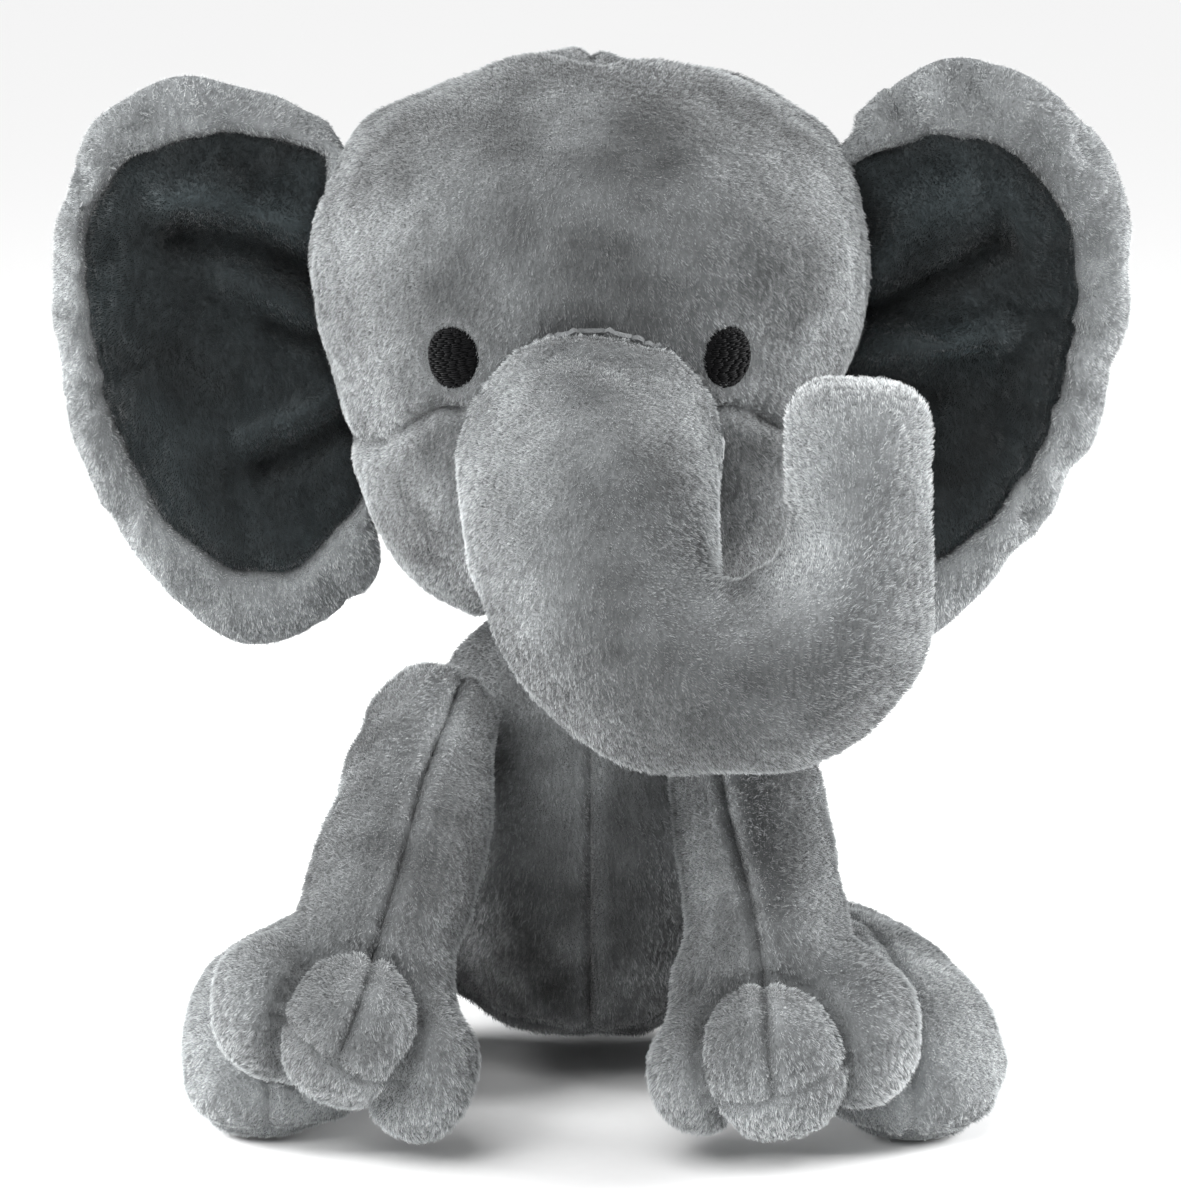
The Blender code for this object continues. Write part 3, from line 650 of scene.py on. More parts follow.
def new_material(name):
    material = bpy.data.materials.new(name)
    material.use_nodes = True
    material.node_tree.nodes.clear()
    return material, Graph(material.node_tree)


# ---------------------------------------------------------------- materials
CLOTH_GRAIN = 900      # scale of the cloth's fibre noise


def plush_material(name, dark, light):
    """The cloth under the pile: mottled brushed colour, fibre grain and a soft sheen."""
    material, graph = new_material(name)
    place = graph.place()
    stretch = graph.add("ShaderNodeMapping", {"Vector": place, "Scale": (1.0, 1.0, 0.35)})
    fibre = graph.noise(stretch, Scale=CLOTH_GRAIN, Detail=6, Roughness=0.72)
    tuft = graph.add("ShaderNodeTexVoronoi", {"Vector": stretch, "Scale": CLOTH_GRAIN * 0.55})
    blotch = graph.noise(place, Scale=42, Detail=3)
    blotch_share, fibre_share = 0.5, 0.55
    fibre_part = graph.math("MULTIPLY", fibre, fibre_share)
    mix = graph.math("MULTIPLY_ADD", blotch, blotch_share, fibre_part)
    colour = graph.ramp(mix, dark, light, places=(0.3, 0.72))
    height = graph.math("SUBTRACT", fibre, tuft)
    # the colour is scaled by "tone", which holds mottle and the painted highlight and shade set on
    # each piece
    graph.output(graph.principled(
        Base_Color=graph.scale(colour, graph.attribute("tone", "Fac")),
        Roughness=graph.remap(fibre, to=(0.8, 1.0)),
        Sheen_Weight=0.35,
        Sheen_Roughness=0.45,
        Normal=graph.bump(height, strength=0.8, distance=0.0006)))
    return material


def pile_material(name, dark, light, sheen, gloss, through, edge_on, end_on):
    """One fibre of the pile, each its own shade: darker at its root as painted shade down in the
    pile.

    through is the share of light passing through. edge_on and end_on set the fibres' painted
    highlight and shade where the cloth under them is seen from the side and from above.
    """
    material, graph = new_material(name)
    hair = graph.add("ShaderNodeHairInfo").outputs
    own_colour = graph.ramp(hair["Random"], dark, light)
    # painted shade: each fibre is darker toward its root and lighter at its tip
    painted_root_shade = graph.remap(hair["Intercept"], to=(0.16, 1.2))
    # tone holds mottle and the painted highlight and shade set on each piece
    brightness = graph.math("MULTIPLY", painted_root_shade, graph.attribute("tone", "Fac"))
    shade = graph.scale(own_colour, brightness)
    # painted highlight and shade: fibres are brightened where their cloth is seen edge on and
    # darkened where it faces the view
    cloth_normal = graph.attribute("cloth_normal", "Vector")
    view = graph.add("ShaderNodeNewGeometry").outputs["Incoming"]
    facing = graph.vector("DOT_PRODUCT", cloth_normal, view).outputs["Value"]
    across = graph.remap(graph.math("ABSOLUTE", facing), to=(edge_on, end_on))
    brightest = (0.88, 0.88, 0.88)
    shade = graph.vector("MINIMUM", graph.scale(shade, across), brightest)
    surface = graph.principled(
        Base_Color=shade, Roughness=0.6, Specular_IOR_Level=gloss, Sheen_Weight=sheen)
    thin = graph.add("ShaderNodeBsdfTranslucent", {"Color": shade})
    graph.output(graph.add("ShaderNodeMixShader", {0: through, 1: surface, 2: thin}))
    return material


def thread_material(name, colour):
    material, graph = new_material(name)
    noise = graph.noise(graph.place(), Scale=2600, Detail=3)
    dark = tuple(channel * 0.55 for channel in colour)
    light = tuple(channel * 1.7 for channel in colour)
    graph.output(graph.principled(
        Base_Color=graph.ramp(noise, dark, light),
        Roughness=0.5,
        Specular_IOR_Level=0.1,
        Normal=graph.bump(noise, strength=0.5, distance=0.0001)))
    return material


grey_cloth = plush_material(
    "plush_grey_cloth", dark=(0.080, 0.085, 0.088), light=(0.225, 0.236, 0.240))
charcoal_cloth = plush_material(
    "plush_charcoal_cloth", dark=(0.006, 0.009, 0.010), light=(0.026, 0.035, 0.038))
black_thread = thread_material("embroidery_thread", colour=(0.0022, 0.0022, 0.0026))
grey_pile = pile_material(
    "plush_grey_pile", dark=(0.27, 0.283, 0.289), light=(0.50, 0.515, 0.52),
    sheen=0.33, gloss=0.4, through=0.24, edge_on=1.22, end_on=0.80)
charcoal_pile = pile_material(
    "plush_charcoal_pile", dark=(0.0035, 0.0058, 0.0065), light=(0.032, 0.044, 0.048),
    sheen=0.08, gloss=0.36, through=0.1, edge_on=2.1, end_on=0.62)

# each finish: cloth, pile, slot
GREY = (grey_cloth, grey_pile, "plush_grey")
CHARCOAL = (charcoal_cloth, charcoal_pile, "plush_charcoal")
THREAD = (black_thread, None, "embroidery_black")


# ---------------------------------------------------------------- pile
def pile_group():
    """Geometry nodes that plant short leaning fibres on the faces marked "pile". In metres."""
    group = bpy.data.node_groups.new("short_pile", "GeometryNodeTree")
    sockets = {"Geometry": "Geometry", "Cloth": "Object", "Fibre": "Material",
               "Density": "Float", "Length": "Float"}
    new_socket = group.interface.new_socket
    for name, kind in sockets.items():
        new_socket(name, in_out="INPUT", socket_type="NodeSocket" + kind)
    new_socket("Geometry", in_out="OUTPUT", socket_type="NodeSocketGeometry")
    graph = Graph(group)
    add = graph.add
    given = add("NodeGroupInput").outputs

    def named(kind, name):
        node = add("GeometryNodeInputNamedAttribute", {"Name": name}, data_type=kind)
        return node.outputs["Attribute"]

    def stored(geometry, kind, name, value):
        inputs = {"Geometry": geometry, "Name": name, "Value": value}
        return add("GeometryNodeStoreNamedAttribute", inputs, data_type=kind, domain="POINT")

    def centred(noise):
        return graph.vector("SUBTRACT", noise.outputs["Color"], (0.5, 0.5, 0.5))

    cloth = add(
        "GeometryNodeObjectInfo", {"Object": given["Cloth"]}, transform_space="RELATIVE")
    planted = add("GeometryNodeDistributePointsOnFaces", {
        "Mesh": cloth.outputs["Geometry"], "Selection": named("BOOLEAN", "pile"),
        "Density": given["Density"]}, distribute_method="RANDOM").outputs
    fibre = add("GeometryNodeCurveQuadraticBezier", {
        "Resolution": 3, "Start": (0, 0, -0.0002), "Middle": (0.00010, 0, 0.0010),
        "End": (0.00105, 0, 0.0016)})
    place = add("GeometryNodeInputPosition")

    # the lean follows the comb, then broad sweeps, small tufts and each fibre's own way
    sweep = centred(graph.noise(place, Scale=38.0, Detail=1.5))
    comb_pull, tuft_pull, own_pull = 2.2, 3.0, 0.25
    lean = graph.vector("MULTIPLY_ADD", named("FLOAT_VECTOR", "comb"), (comb_pull,) * 3, sweep)
    own_way = add("FunctionNodeRandomValue", {0: (-own_pull,) * 3, 1: (own_pull,) * 3},
                  data_type="FLOAT_VECTOR")
    tuft = graph.noise(place, Scale=620.0, Detail=1.0)
    lean = graph.vector("MULTIPLY_ADD", centred(tuft), (tuft_pull,) * 3, lean)
    lean = graph.vector("ADD", lean, own_way)
    upright = add("FunctionNodeAlignRotationToVector", {"Vector": planted["Normal"]}, axis="Z")
    turned = add("FunctionNodeAlignRotationToVector", {"Rotation": upright, "Vector": lean},
                 axis="X", pivot_axis="Z")

    # fine specks of darker, shorter fibres, drawn out up and down
    speck = graph.noise(graph.vector("MULTIPLY", place, (1.0, 1.0, 0.5)), Scale=1050.0, Detail=1.0)
    least, most = 0.62, 1.0
    own_length = add("FunctionNodeRandomValue", {2: least, 3: most}, data_type="FLOAT")
    size = graph.math("MULTIPLY", own_length.outputs[1], named("FLOAT", "pile_len"))
    size = graph.math("MULTIPLY", size, graph.remap(tuft, to=(0.72, 1.1), source=(0.33, 0.62)))
    size = graph.math("MULTIPLY", size, given["Length"])
    size = graph.math("MULTIPLY", size, graph.remap(speck, to=(0.45, 1.04), source=(0.39, 0.52)))
    fleck = graph.remap(speck, to=(0.40, 1.17), source=(0.39, 0.55))
    tone = graph.math("MULTIPLY", named("FLOAT", "tone"), fleck)

    roots = stored(planted["Points"], "FLOAT_VECTOR", "cloth_normal", planted["Normal"])
    roots = stored(roots, "FLOAT", "tone", tone)
    fibres = add("GeometryNodeInstanceOnPoints", {
        "Points": roots, "Instance": fibre, "Rotation": turned, "Scale": size})
    fibres = add("GeometryNodeRealizeInstances", {0: fibres})
    along = add("GeometryNodeSplineParameter").outputs["Factor"]
    root_radius, tip_radius = 0.000068, 0.00002
    radius = graph.remap(along, to=(root_radius, tip_radius))
    fibres = add("GeometryNodeSetCurveRadius", {"Curve": fibres, "Radius": radius})
    fibres = add("GeometryNodeSetMaterial", {0: fibres, "Material": given["Fibre"]})
    add("NodeGroupOutput", {0: fibres})
    return group


PILE_NODES = pile_group()
SOCKET = {item.name: item.identifier for item in PILE_NODES.interface.items_tree
          if item.in_out == "INPUT"}


def pile_on(cloth, fibre, density, length):
    """Pile over a piece of cloth. density is in fibres to a square millimetre."""
    name = cloth.name + "_pile"
    curves = bpy.data.hair_curves.new(name)
    made = link_object(name, curves)
    curves.materials.append(fibre)
    pile = made.modifiers.new("pile", "NODES")
    pile.node_group = PILE_NODES
    pile[SOCKET["Cloth"]] = cloth
    pile[SOCKET["Fibre"]] = fibre
    pile[SOCKET["Density"]] = float(density * 1e6 * (1.0))
    pile[SOCKET["Length"]] = float(length * 0.85)


def use_bend(piece):
    """Reads the far body's share at each point from the form's own "bend", and leaves it unused."""
    share = np.empty(len(piece.data.vertices), np.float32)
    piece.data.attributes["bend"].data.foreach_get("value", share)
    share = smooth_step(share).astype(np.float32)


def place(piece, nodes, body=None, blend=None, finish=GREY, length=1.0, density=7.0):
    """Gives a piece its cloth and pile, hides the nodes it stands for and ties it to body;
    a piece without a body is baked where it stands and moves with none.

    blend is the near body, the far body, and where the change between them starts and ends.
    It is unpacked but not used.
    """
    cloth, fibre, slot = finish
    piece.data.materials.append(cloth)
    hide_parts(*nodes)
    if body:
        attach(piece, body)
    else:
        near, far, start, end = blend
        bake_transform(piece)
        use_bend(piece)
    if fibre:
        pile_on(piece, fibre, density, length)


def place_panels(table, points, normals, faces, panels, attributes, bald=None, **looks):
    """Makes and places every panel. table has each panel's name and nodes, in panel order."""
    for number, (name, nodes) in enumerate(table):
        pick = panels == number
        bare = None if bald is None else bald[pick]
        piece = shell(name, points, normals, faces[pick], attributes, bare)
        place(piece, nodes, **looks)


# ---------------------------------------------------------------- cloth simulation
def point_places(vertices, scale):
    """A mesh's points in millimetres, at 1 / scale of their size."""
    flat = np.empty(len(vertices) * 3, np.float32)
    vertices.foreach_get("co", flat)
    return flat.reshape(-1, 3).astype(float) * 1000 / scale


def cloth_pass(name, points, faces, voxel, pinned, pressure, shrink, most):
    """Remeshes a closed form, inflates it as cloth, and hands the movement to the fine surface.

    pinned gives how firmly each point is held. No point moves further than most.
    """
    scale, frames = 4.0, 20
    scene = bpy.context.scene
    copy = mesh_object(name + "_copy", points * scale, faces)
    remesh = copy.modifiers.new("remesh", "REMESH")
    configure(remesh, mode="VOXEL", voxel_size=voxel * scale * 0.001)
    graph = bpy.context.evaluated_depsgraph_get()
    mesh = bpy.data.meshes.new_from_object(copy.evaluated_get(graph))
    bpy.data.objects.remove(copy)
    balloon = link_object(name + "_sim", mesh)
    start = point_places(mesh.vertices, scale)
    pin = np.round(np.clip(pinned(start), 0, 1), 1)
    group = balloon.vertex_groups.new(name="pin")
    for level in np.unique(pin):
        if level > 0:
            group.add(np.where(pin == level)[0].tolist(), float(level), "REPLACE")
    cloth = balloon.modifiers.new("cloth", "CLOTH")
    configure(
        cloth.settings, quality=4, vertex_group_mass="pin", use_pressure=True,
        uniform_pressure_force=pressure, shrink_min=shrink, tension_stiffness=15.0,
        compression_stiffness=15.0, bending_stiffness=0.3)
    cloth.settings.effector_weights.gravity = 0
    configure(cloth.point_cache, frame_start=1, frame_end=frames)
    for number in range(1, frames + 1):
        scene.frame_set(number)
    graph = bpy.context.evaluated_depsgraph_get()
    end = point_places(balloon.evaluated_get(graph).to_mesh().vertices, scale)
    bpy.data.objects.remove(balloon)
    scene.frame_set(1)
    move = end - start
    size = lengths(move)
    capped = move * np.minimum(1, most / np.maximum(size, 1e-9))
    move = np.where(np.isfinite(size), capped, 0)

    # each fine point moves as the mean of the five cloth points nearest to it
    tree = KDTree(len(start))
    for i, point in enumerate(start):
        tree.insert(point, i)
    tree.balance()
    at = np.zeros((len(points), 5), int)
    far = np.zeros((len(points), 5))
    for i, point in enumerate(points):
        for k, (_, index, distance) in enumerate(tree.find_n(point, 5)):
            at[i, k], far[i, k] = index, distance
    weights = 1 / (far + 0.4) ** 2
    weights /= weights.sum(1, keepdims=True)
    return points + (move[at] * weights[..., None]).sum(1)


# ---------------------------------------------------------------- head
# z, half width, depth to the front, depth to the back, squareness
HEAD_ROWS = [
    (103.0, 0.0, 0.0, 0.0, 2.0), (103.2, 13.0, 12.0, 12.0, 2.0), (104.6, 25.5, 23.0, 22.0, 2.0),
    (108.6, 36.0, 35.0, 31.0, 2.1), (115.5, 44.2, 45.0, 38.0, 2.2), (125.5, 50.5, 52.5, 44.0, 2.3),
    (137.5, 54.0, 56.0, 49.5, 2.35), (148.5, 55.6, 55.5, 52.5, 2.4),
    (158.5, 58.6, 56.0, 54.5, 2.4), (170.0, 62.0, 56.8, 56.0, 2.4), (182.0, 63.7, 57.0, 56.0, 2.4),
    (193.0, 63.0, 55.5, 54.5, 2.4), (204.0, 59.8, 52.0, 51.0, 2.4), (213.0, 54.6, 46.0, 45.0, 2.35),
    (220.0, 46.0, 38.0, 37.5, 2.25), (226.0, 33.0, 27.5, 27.5, 2.15),
    (230.8, 17.0, 14.5, 14.5, 2.05), (233.0, 0.0, 0.0, 0.0, 2.0),
]
HEAD_Y = 2.0
HEAD = Profile(HEAD_ROWS, HEAD_Y)
HEAD_SHIFT = middle_of(
    "forehead_panel", "head_back_left_panel", "head_back_right_panel"
) - np.array((0.0, 1.55, 169.65))
HEAD_LUMPS = 0.55
NECK_HOLLOW = 27.0     # radius of the ball kept clear round the neck joint
CHIN_HALF = 23.0       # half width of the chin panel
EYE = {side: middle_of(f"eye_{side}_embroidery") - HEAD_SHIFT - (0, 0, 0.9) for side in SIDES}
EYE_W, EYE_H = 5.6, 6.85   # half width and half height
EYE_DIP = 0.7          # how far the face sinks under an eye


def face_y(x, z):
    """Depth of the front of the head at this x and z."""
    width, front, _, power = HEAD.at(z)
    return HEAD_Y - front * np.maximum(1 - np.abs(x / width) ** power, 0) ** (1 / power)


def crown_y(x, z):
    """Where the forehead meets the back panels."""
    notch = 17 * bell(x / 6) * smooth_step((z - 219) / 8)
    return 3 + 3 * smooth_step((z - 200) / 22) - notch


def cheek_z(x):
    """Where the forehead meets the cheeks."""
    return 157.0 - 11.5 * smooth_step((np.abs(x) - 32) / 22)


def eye_share(points, side):
    """Distance from an eye's middle, 1 at its edge."""
    across = (points[:, 0] - EYE[side][0]) / EYE_W
    return np.hypot(across, (points[:, 2] - EYE[side][2]) / EYE_H)


def head_shape(points):
    """Full cheeks, sunk eyes and a small rise at the crown."""
    x, y, z = points.T
    lift = 1.3 * bell((np.abs(x) - 38) / 13, (z - 139) / 13) * smooth_step((6 - y) / 12)
    for side in SIDES:
        lift -= EYE_DIP * np.exp(-((eye_share(points, side) / 1.15) ** 4)) * (y < 0)
    return lift + 0.9 * bell(x / 6, (z - 233) / 5)


def head_seams():
    def crown(points):
        return points[:, 1] - crown_y(points[:, 0], points[:, 2])

    def front(points):
        return smooth_step((crown_y(points[:, 0], points[:, 2]) + 1.5 - points[:, 1]) / 3)

    def chin(points):
        return front(points) * (points[:, 2] < cheek_z(points[:, 0]))

    return [
        Seam(crown, depth=1.0, width=1.4, ridge=0.2),
        Seam(lambda points: points[:, 2] - cheek_z(points[:, 0]), mask=front,
             depth=1.9, width=1.9, ridge=0.45),
        Seam(lambda points: np.abs(points[:, 0]) - CHIN_HALF, mask=chin, depth=1.1),
        Seam(lambda points: points[:, 0], mask=lambda points: 1 - front(points),
             depth=1.5, width=1.5, ridge=0.45),
    ]


def head_panel_of(points):
    x, y, z = points.T
    back = y > crown_y(x, z)
    tests = [back & (x > 0), back, z >= cheek_z(x), np.abs(x) < CHIN_HALF, x > 0]
    return np.select(tests, [4, 5, 0, 3, 1], 2)


def build_head():
    points, faces = star(np.array((0.0, HEAD_Y, 168.0)), HEAD.holds, 76)
    points = relax(points, faces, 3)
    points = clear_ball(points, NECK - HEAD_SHIFT, NECK_HOLLOW)
    points, normals, panels, attributes = sew(
        points, faces, head_seams(), head_panel_of, inset=FACE_INSET, extra=head_shape,
        comb=lambda points: columns(points[:, 0] / 55, -0.3, -1.0), lumps=HEAD_LUMPS)
    x, y, z = points.T
    ring = np.full(len(points), 9.0)
    for side in SIDES:
        ring = np.minimum(ring, np.where(y < 0, eye_share(points, side), 9.0))
    attributes["pile_len"] *= 1 - 0.4 * bell((ring - 1.02) / 0.14)
    tone = attributes["tone"]
    tone += 0.16 * bell((ring - 1.25) / 0.2)
    # painted highlight: the cheeks and the sides of the head are made lighter
    tone += (0.08 * bell((np.abs(x) - 46) / 12, (z - 130) / 20)
             + 0.15 * smooth_step((np.abs(x) - 38) / 20))
    # painted shade: a darker patch low on the left cheek, where the raised trunk shades it
    shade = 0.32 * smooth_step((x - 20) / 8) * smooth_step((46 - x) / 6)
    tone -= shade * smooth_step((157 - z) / 4) * (y < 0)
    points = points + HEAD_SHIFT
    under_eye = ring[faces].max(1) < 0.97
    at_neck = np.linalg.norm(points[faces].mean(1) - NECK, axis=1) < NECK_HOLLOW + 1
    table = [
        ("forehead_plush", ["forehead_panel", "head_stuffing"]),
        ("cheek_left_plush", ["cheek_left_panel"]),
        ("cheek_right_plush", ["cheek_right_panel"]),
        ("chin_plush", ["chin_panel"]),
        ("head_back_left_plush", ["head_back_left_panel"]),
        ("head_back_right_plush", ["head_back_right_panel"]),
    ]
    place_panels(table, points, normals, faces, panels, attributes,
                 bald=under_eye | at_neck, body="head", length=0.78)


# ---------------------------------------------------------------- eyes: satin-stitched ovals
def above_face(x, z, height):
    """Points this far above the head's cloth."""
    half = 0.4
    y = face_y(x, z)
    slope_x = (face_y(x + half, z) - face_y(x - half, z)) / (2 * half)
    slope_z = (face_y(x, z + half) - face_y(x, z - half)) / (2 * half)
    normal = columns(slope_x, -1.0, slope_z)
    normal /= np.linalg.norm(normal, axis=-1, keepdims=True)
    base = columns(x, y, z)
    flat = base.reshape(-1, 3)
    rise = -FACE_INSET + HEAD_LUMPS * LUMPS(flat) + DIMPLE * DIMPLES(flat) - EYE_DIP
    return base + normal * (rise.reshape(x.shape) + height)[..., None] + HEAD_SHIFT


def dome(share):
    """Height of the padding under the stitches."""
    return 0.45 + 0.95 * np.maximum(1 - share**2.6, 0) ** 0.6


class Embroidery:
    """One eye's padding and stitches, in one mesh."""

    THREAD_SIDES = 6

    def __init__(self, side):
        self.x, _, self.z = EYE[side]
        self.points, self.faces, self.count = [], [], 0

    def add_grid(self, grid, flip=False):
        """Adds rings of points and gives the number of the first point."""
        base = self.count
        quads = grid_quads(*grid.shape[:2]) + base
        self.faces.append(quads[:, ::-1] if flip else quads)
        self.points.append(grid.reshape(-1, 3))
        self.count += len(self.points[-1])
        return base

    def pad(self):
        share = np.linspace(0.02, 1, 16)
        shares = np.concatenate([share, [1.0, 0.6, 0.02]])
        heights = np.concatenate([dome(share), [-0.2, -0.3, -0.3]])
        angles = np.linspace(0, 2 * math.pi, 96, endpoint=False)
        jag = 1 + 0.018 * np.sin(angles * 31 + 1) + 0.014 * np.sin(angles * 47)
        rho, angle = np.meshgrid(shares, angles, indexing="ij")
        edge = np.where(rho > 0.9, jag, 1)
        x = self.x + EYE_W * 0.97 * rho * np.cos(angle) * edge
        z = self.z + EYE_H * 0.97 * rho * np.sin(angle) * edge
        grid = above_face(x, z, np.broadcast_to(heights[:, None], x.shape))
        base = self.add_grid(grid)
        # close the small holes at the middle of the top and bottom
        count = len(angles)
        half = count // 2
        for row, flip in ((0, True), (len(shares) - 1, False)):
            ring = base + row * count + np.arange(count)
            back = ring[::-1]
            strip = columns(ring[: half - 1], ring[1:half], back[1:half], back[: half - 1])
            self.faces.append(strip[:, ::-1] if flip else strip)

    def stitch(self, start, end, radius, top, sag, steps):
        """A stitch between two offsets from the oval's middle.

        top lifts its middle and sag sinks its ends.
        """
        part = np.linspace(0, 1, steps)
        x = self.x + start[0] + (end[0] - start[0]) * part
        z = self.z + start[1] + (end[1] - start[1]) * part
        share = np.hypot((x - self.x) / EYE_W, (z - self.z) / EYE_H)
        height = np.where(share < 1, dome(np.minimum(share, 1)), 0.45 - 1.4 * (share - 1))
        arch = np.sin(math.pi * part)
        # the last arch can come out a hair below zero, where its root has no value
        height = height + top * np.sin(math.pi * part) ** 0.5 - sag * (1 - arch)
        centres = above_face(x, z, height)
        up = above_face(x, z, height + 1) - centres
        across = np.cross(np.gradient(centres, axis=0), up)
        across /= lengths(across)
        radii = np.full(steps, radius)
        radii[[0, -1]] = radius * 0.55
        angles = np.linspace(0, 2 * math.pi, self.THREAD_SIDES, endpoint=False)[:, None]
        ring = np.cos(angles) * across[:, None] + np.sin(angles) * up[:, None]
        base = self.add_grid(centres[:, None] + radii[:, None, None] * ring, flip=True)
        for row, flip in ((0, False), (steps - 1, True)):
            caps = np.array([[0, 1, 2, 3], [0, 3, 4, 5]]) + base + row * self.THREAD_SIDES
            self.faces.append(caps[:, ::-1] if flip else caps)


def row_ends(along, offset):
    """Where a row of stitches meets the oval on each side, or None."""
    reach = np.linspace(0, 7.5, 300)
    ends = []
    for sign in (-1, 1):
        places = np.outer(reach * sign, along) + offset
        within = np.hypot(places[:, 0] / EYE_W, places[:, 1] / EYE_H) < 0.99
        ends.append(sign * reach[within].max() if within.any() else None)
    return ends


def build_eye(side, seed, slope):
    """One eye. slope is the lean of its stitch rows in degrees."""
    eye = Embroidery(side)
    eye.pad()
    rng = np.random.default_rng(seed)
    slope = math.radians(slope)
    along = np.array((math.cos(slope), math.sin(slope)))
    across = np.array((-along[1], along[0]))
    row_pitch = 0.47
    for offset in np.arange(-EYE_H, EYE_H, row_pitch):
        low, high = row_ends(along, offset * across)
        if low is None or high is None or high - low < 1.2:
            continue
        start = low - rng.uniform(0.0, 0.3)
        last = high + rng.uniform(0.0, 0.3)
        lengths_between = (0.7, 2.4)
        while start < last - 0.3:
            end = min(start + rng.uniform(*lengths_between), last)
            if last - end < 0.7:
                end = last
            stray, end_stray = rng.uniform(-0.07, 0.07, 2)
            eye.stitch(start * along + (offset + stray) * across,
                       end * along + (offset + end_stray) * across,
                       radius=0.24, top=0.16, sag=0.10, steps=6)
            start = end - 0.05
            lengths_between = (1.5, 2.9)
    # short stitches across the rim
    for angle in np.arange(0, 2 * math.pi, 0.085):
        angle += rng.uniform(-0.02, 0.02)
        edge = np.array((math.cos(angle) * EYE_W, math.sin(angle) * EYE_H))
        tilt = np.array((-edge[1], edge[0])) * rng.uniform(-0.06, 0.06)
        start = edge * rng.uniform(0.74, 0.86) + tilt
        eye.stitch(start, edge * rng.uniform(1.0, 1.055), radius=0.2, top=0.2, sag=0.2, steps=4)
    piece = mesh_object(f"eye_{side}_stitching", np.concatenate(eye.points),
                        np.concatenate(eye.faces), sharp=70)
    place(piece, [f"eye_{side}_embroidery"], body="head", finish=THREAD)


# ---------------------------------------------------------------- trunk
# x, y, z, radius, from inside the face to the tip
TRUNK_ROWS = [
    (0.5, -50.0, 148.0, 29.3), (0.5, -57.0, 145.0, 29.2), (0.6, -65.0, 140.6, 29.0),
    (1.2, -75.0, 132.8, 28.0), (3.0, -83.5, 124.4, 26.4), (7.4, -90.3, 116.4, 25.0),
    (14.2, -94.5, 111.0, 23.8), (22.0, -97.0, 108.4, 22.9), (33.5, -99.3, 108.2, 22.2),
    (44.4, -100.3, 112.4, 21.4), (52.4, -100.0, 121.6, 19.5), (56.2, -98.8, 133.0, 16.8),
    (57.0, -97.6, 145.5, 15.6), (56.4, -96.6, 154.5, 16.0),
]
# direction of the trunk's front at each row
TRUNK_FACING = [(0, -1, 1.2)] * 6 + [(0, -1, 0.7), (0, -1, 0.3)] + [(0, -1, 0.2)] * 6
TRUNK = Tube(TRUNK_ROWS, 230, TRUNK_FACING)
TRUNK_CURL = np.array((22.0, -97.0, 108.0))
TRUNK_SHIFT = CURL - TRUNK_CURL
TIP_X, TIP_Y = 56.4, -96.8
TIP_RADIUS, TIP_ROUND = 16.2, 9.5     # the flat-ended tip and the rounding of its edge
TIP_TOP = box_of("trunk_lower_front_panel")[1][2] - TRUNK_SHIFT[2]
# dents and one rise in the bend: centre, height, size
TRUNK_DENTS = [
    ((36, -112, 136), -1.2, 5), ((30, -108, 131), -1.0, 4), ((43, -110, 139), -0.8, 4),
    ((34.5, -103, 130.5), 2.2, 3.6),
]
TRUNK_PUCKER = Waves(21, 8.0)


def trunk_field(points):
    x, y, z = points.T
    out = np.hypot(x - TIP_X, y - TIP_Y) - (TIP_RADIUS - TIP_ROUND)
    up = z - (TIP_TOP - 1.2 - TIP_ROUND)
    tip = np.hypot(np.maximum(out, 0), np.maximum(up, 0))
    tip = tip + np.minimum(np.maximum(out, up), 0) - TIP_ROUND
    tip = np.maximum(tip, 144.0 - z)
    whole = smooth_min(TRUNK.nearest(points)[0], tip, 1.5)
    return np.maximum(whole, y - face_y(x, z) - 2.6)


def trunk_root(points):
    """How far in front of the face."""
    return face_y(points[:, 0], points[:, 2]) - points[:, 1]


def trunk_seam(points):
    """Zero on the line between the front and back panels."""
    forward, _, reach, radius = TRUNK.local(points)
    return forward + radius * (0.34 - 0.1 * smooth_step((reach - 90) / 20))


def trunk_panel_of(points):
    inside_head = trunk_root(points) < -2.35
    return np.where(inside_head, 2, np.where(trunk_seam(points) > 0, 0, 1))


def trunk_shape(points):
    """The gathered root, a rise at its right and the dents in the bend."""
    out = trunk_root(points)
    near = (TRUNK.reach(points) < 60).astype(float)
    rings = 1.3 * bell((out - 5.5) / 3.2) - 1.2 * bell(out / 2.4) - 0.3 * bell((out - 12) / 3.0)
    lift = near * rings
    lift += near * 0.28 * np.clip(TRUNK_PUCKER(points), -2, 2) * bell((out - 3) / 5)
    lift += bump(points, (-28.5, -62.0, 147.0), 1.5, 6.5)
    for centre, height, size in TRUNK_DENTS:
        lift += bump(points, centre, height, size)
    return lift


def trunk_comb(points):
    return TRUNK.along[TRUNK.nearest(points)[1]] * 0.8 + np.array((0.0, 0.0, -0.5))


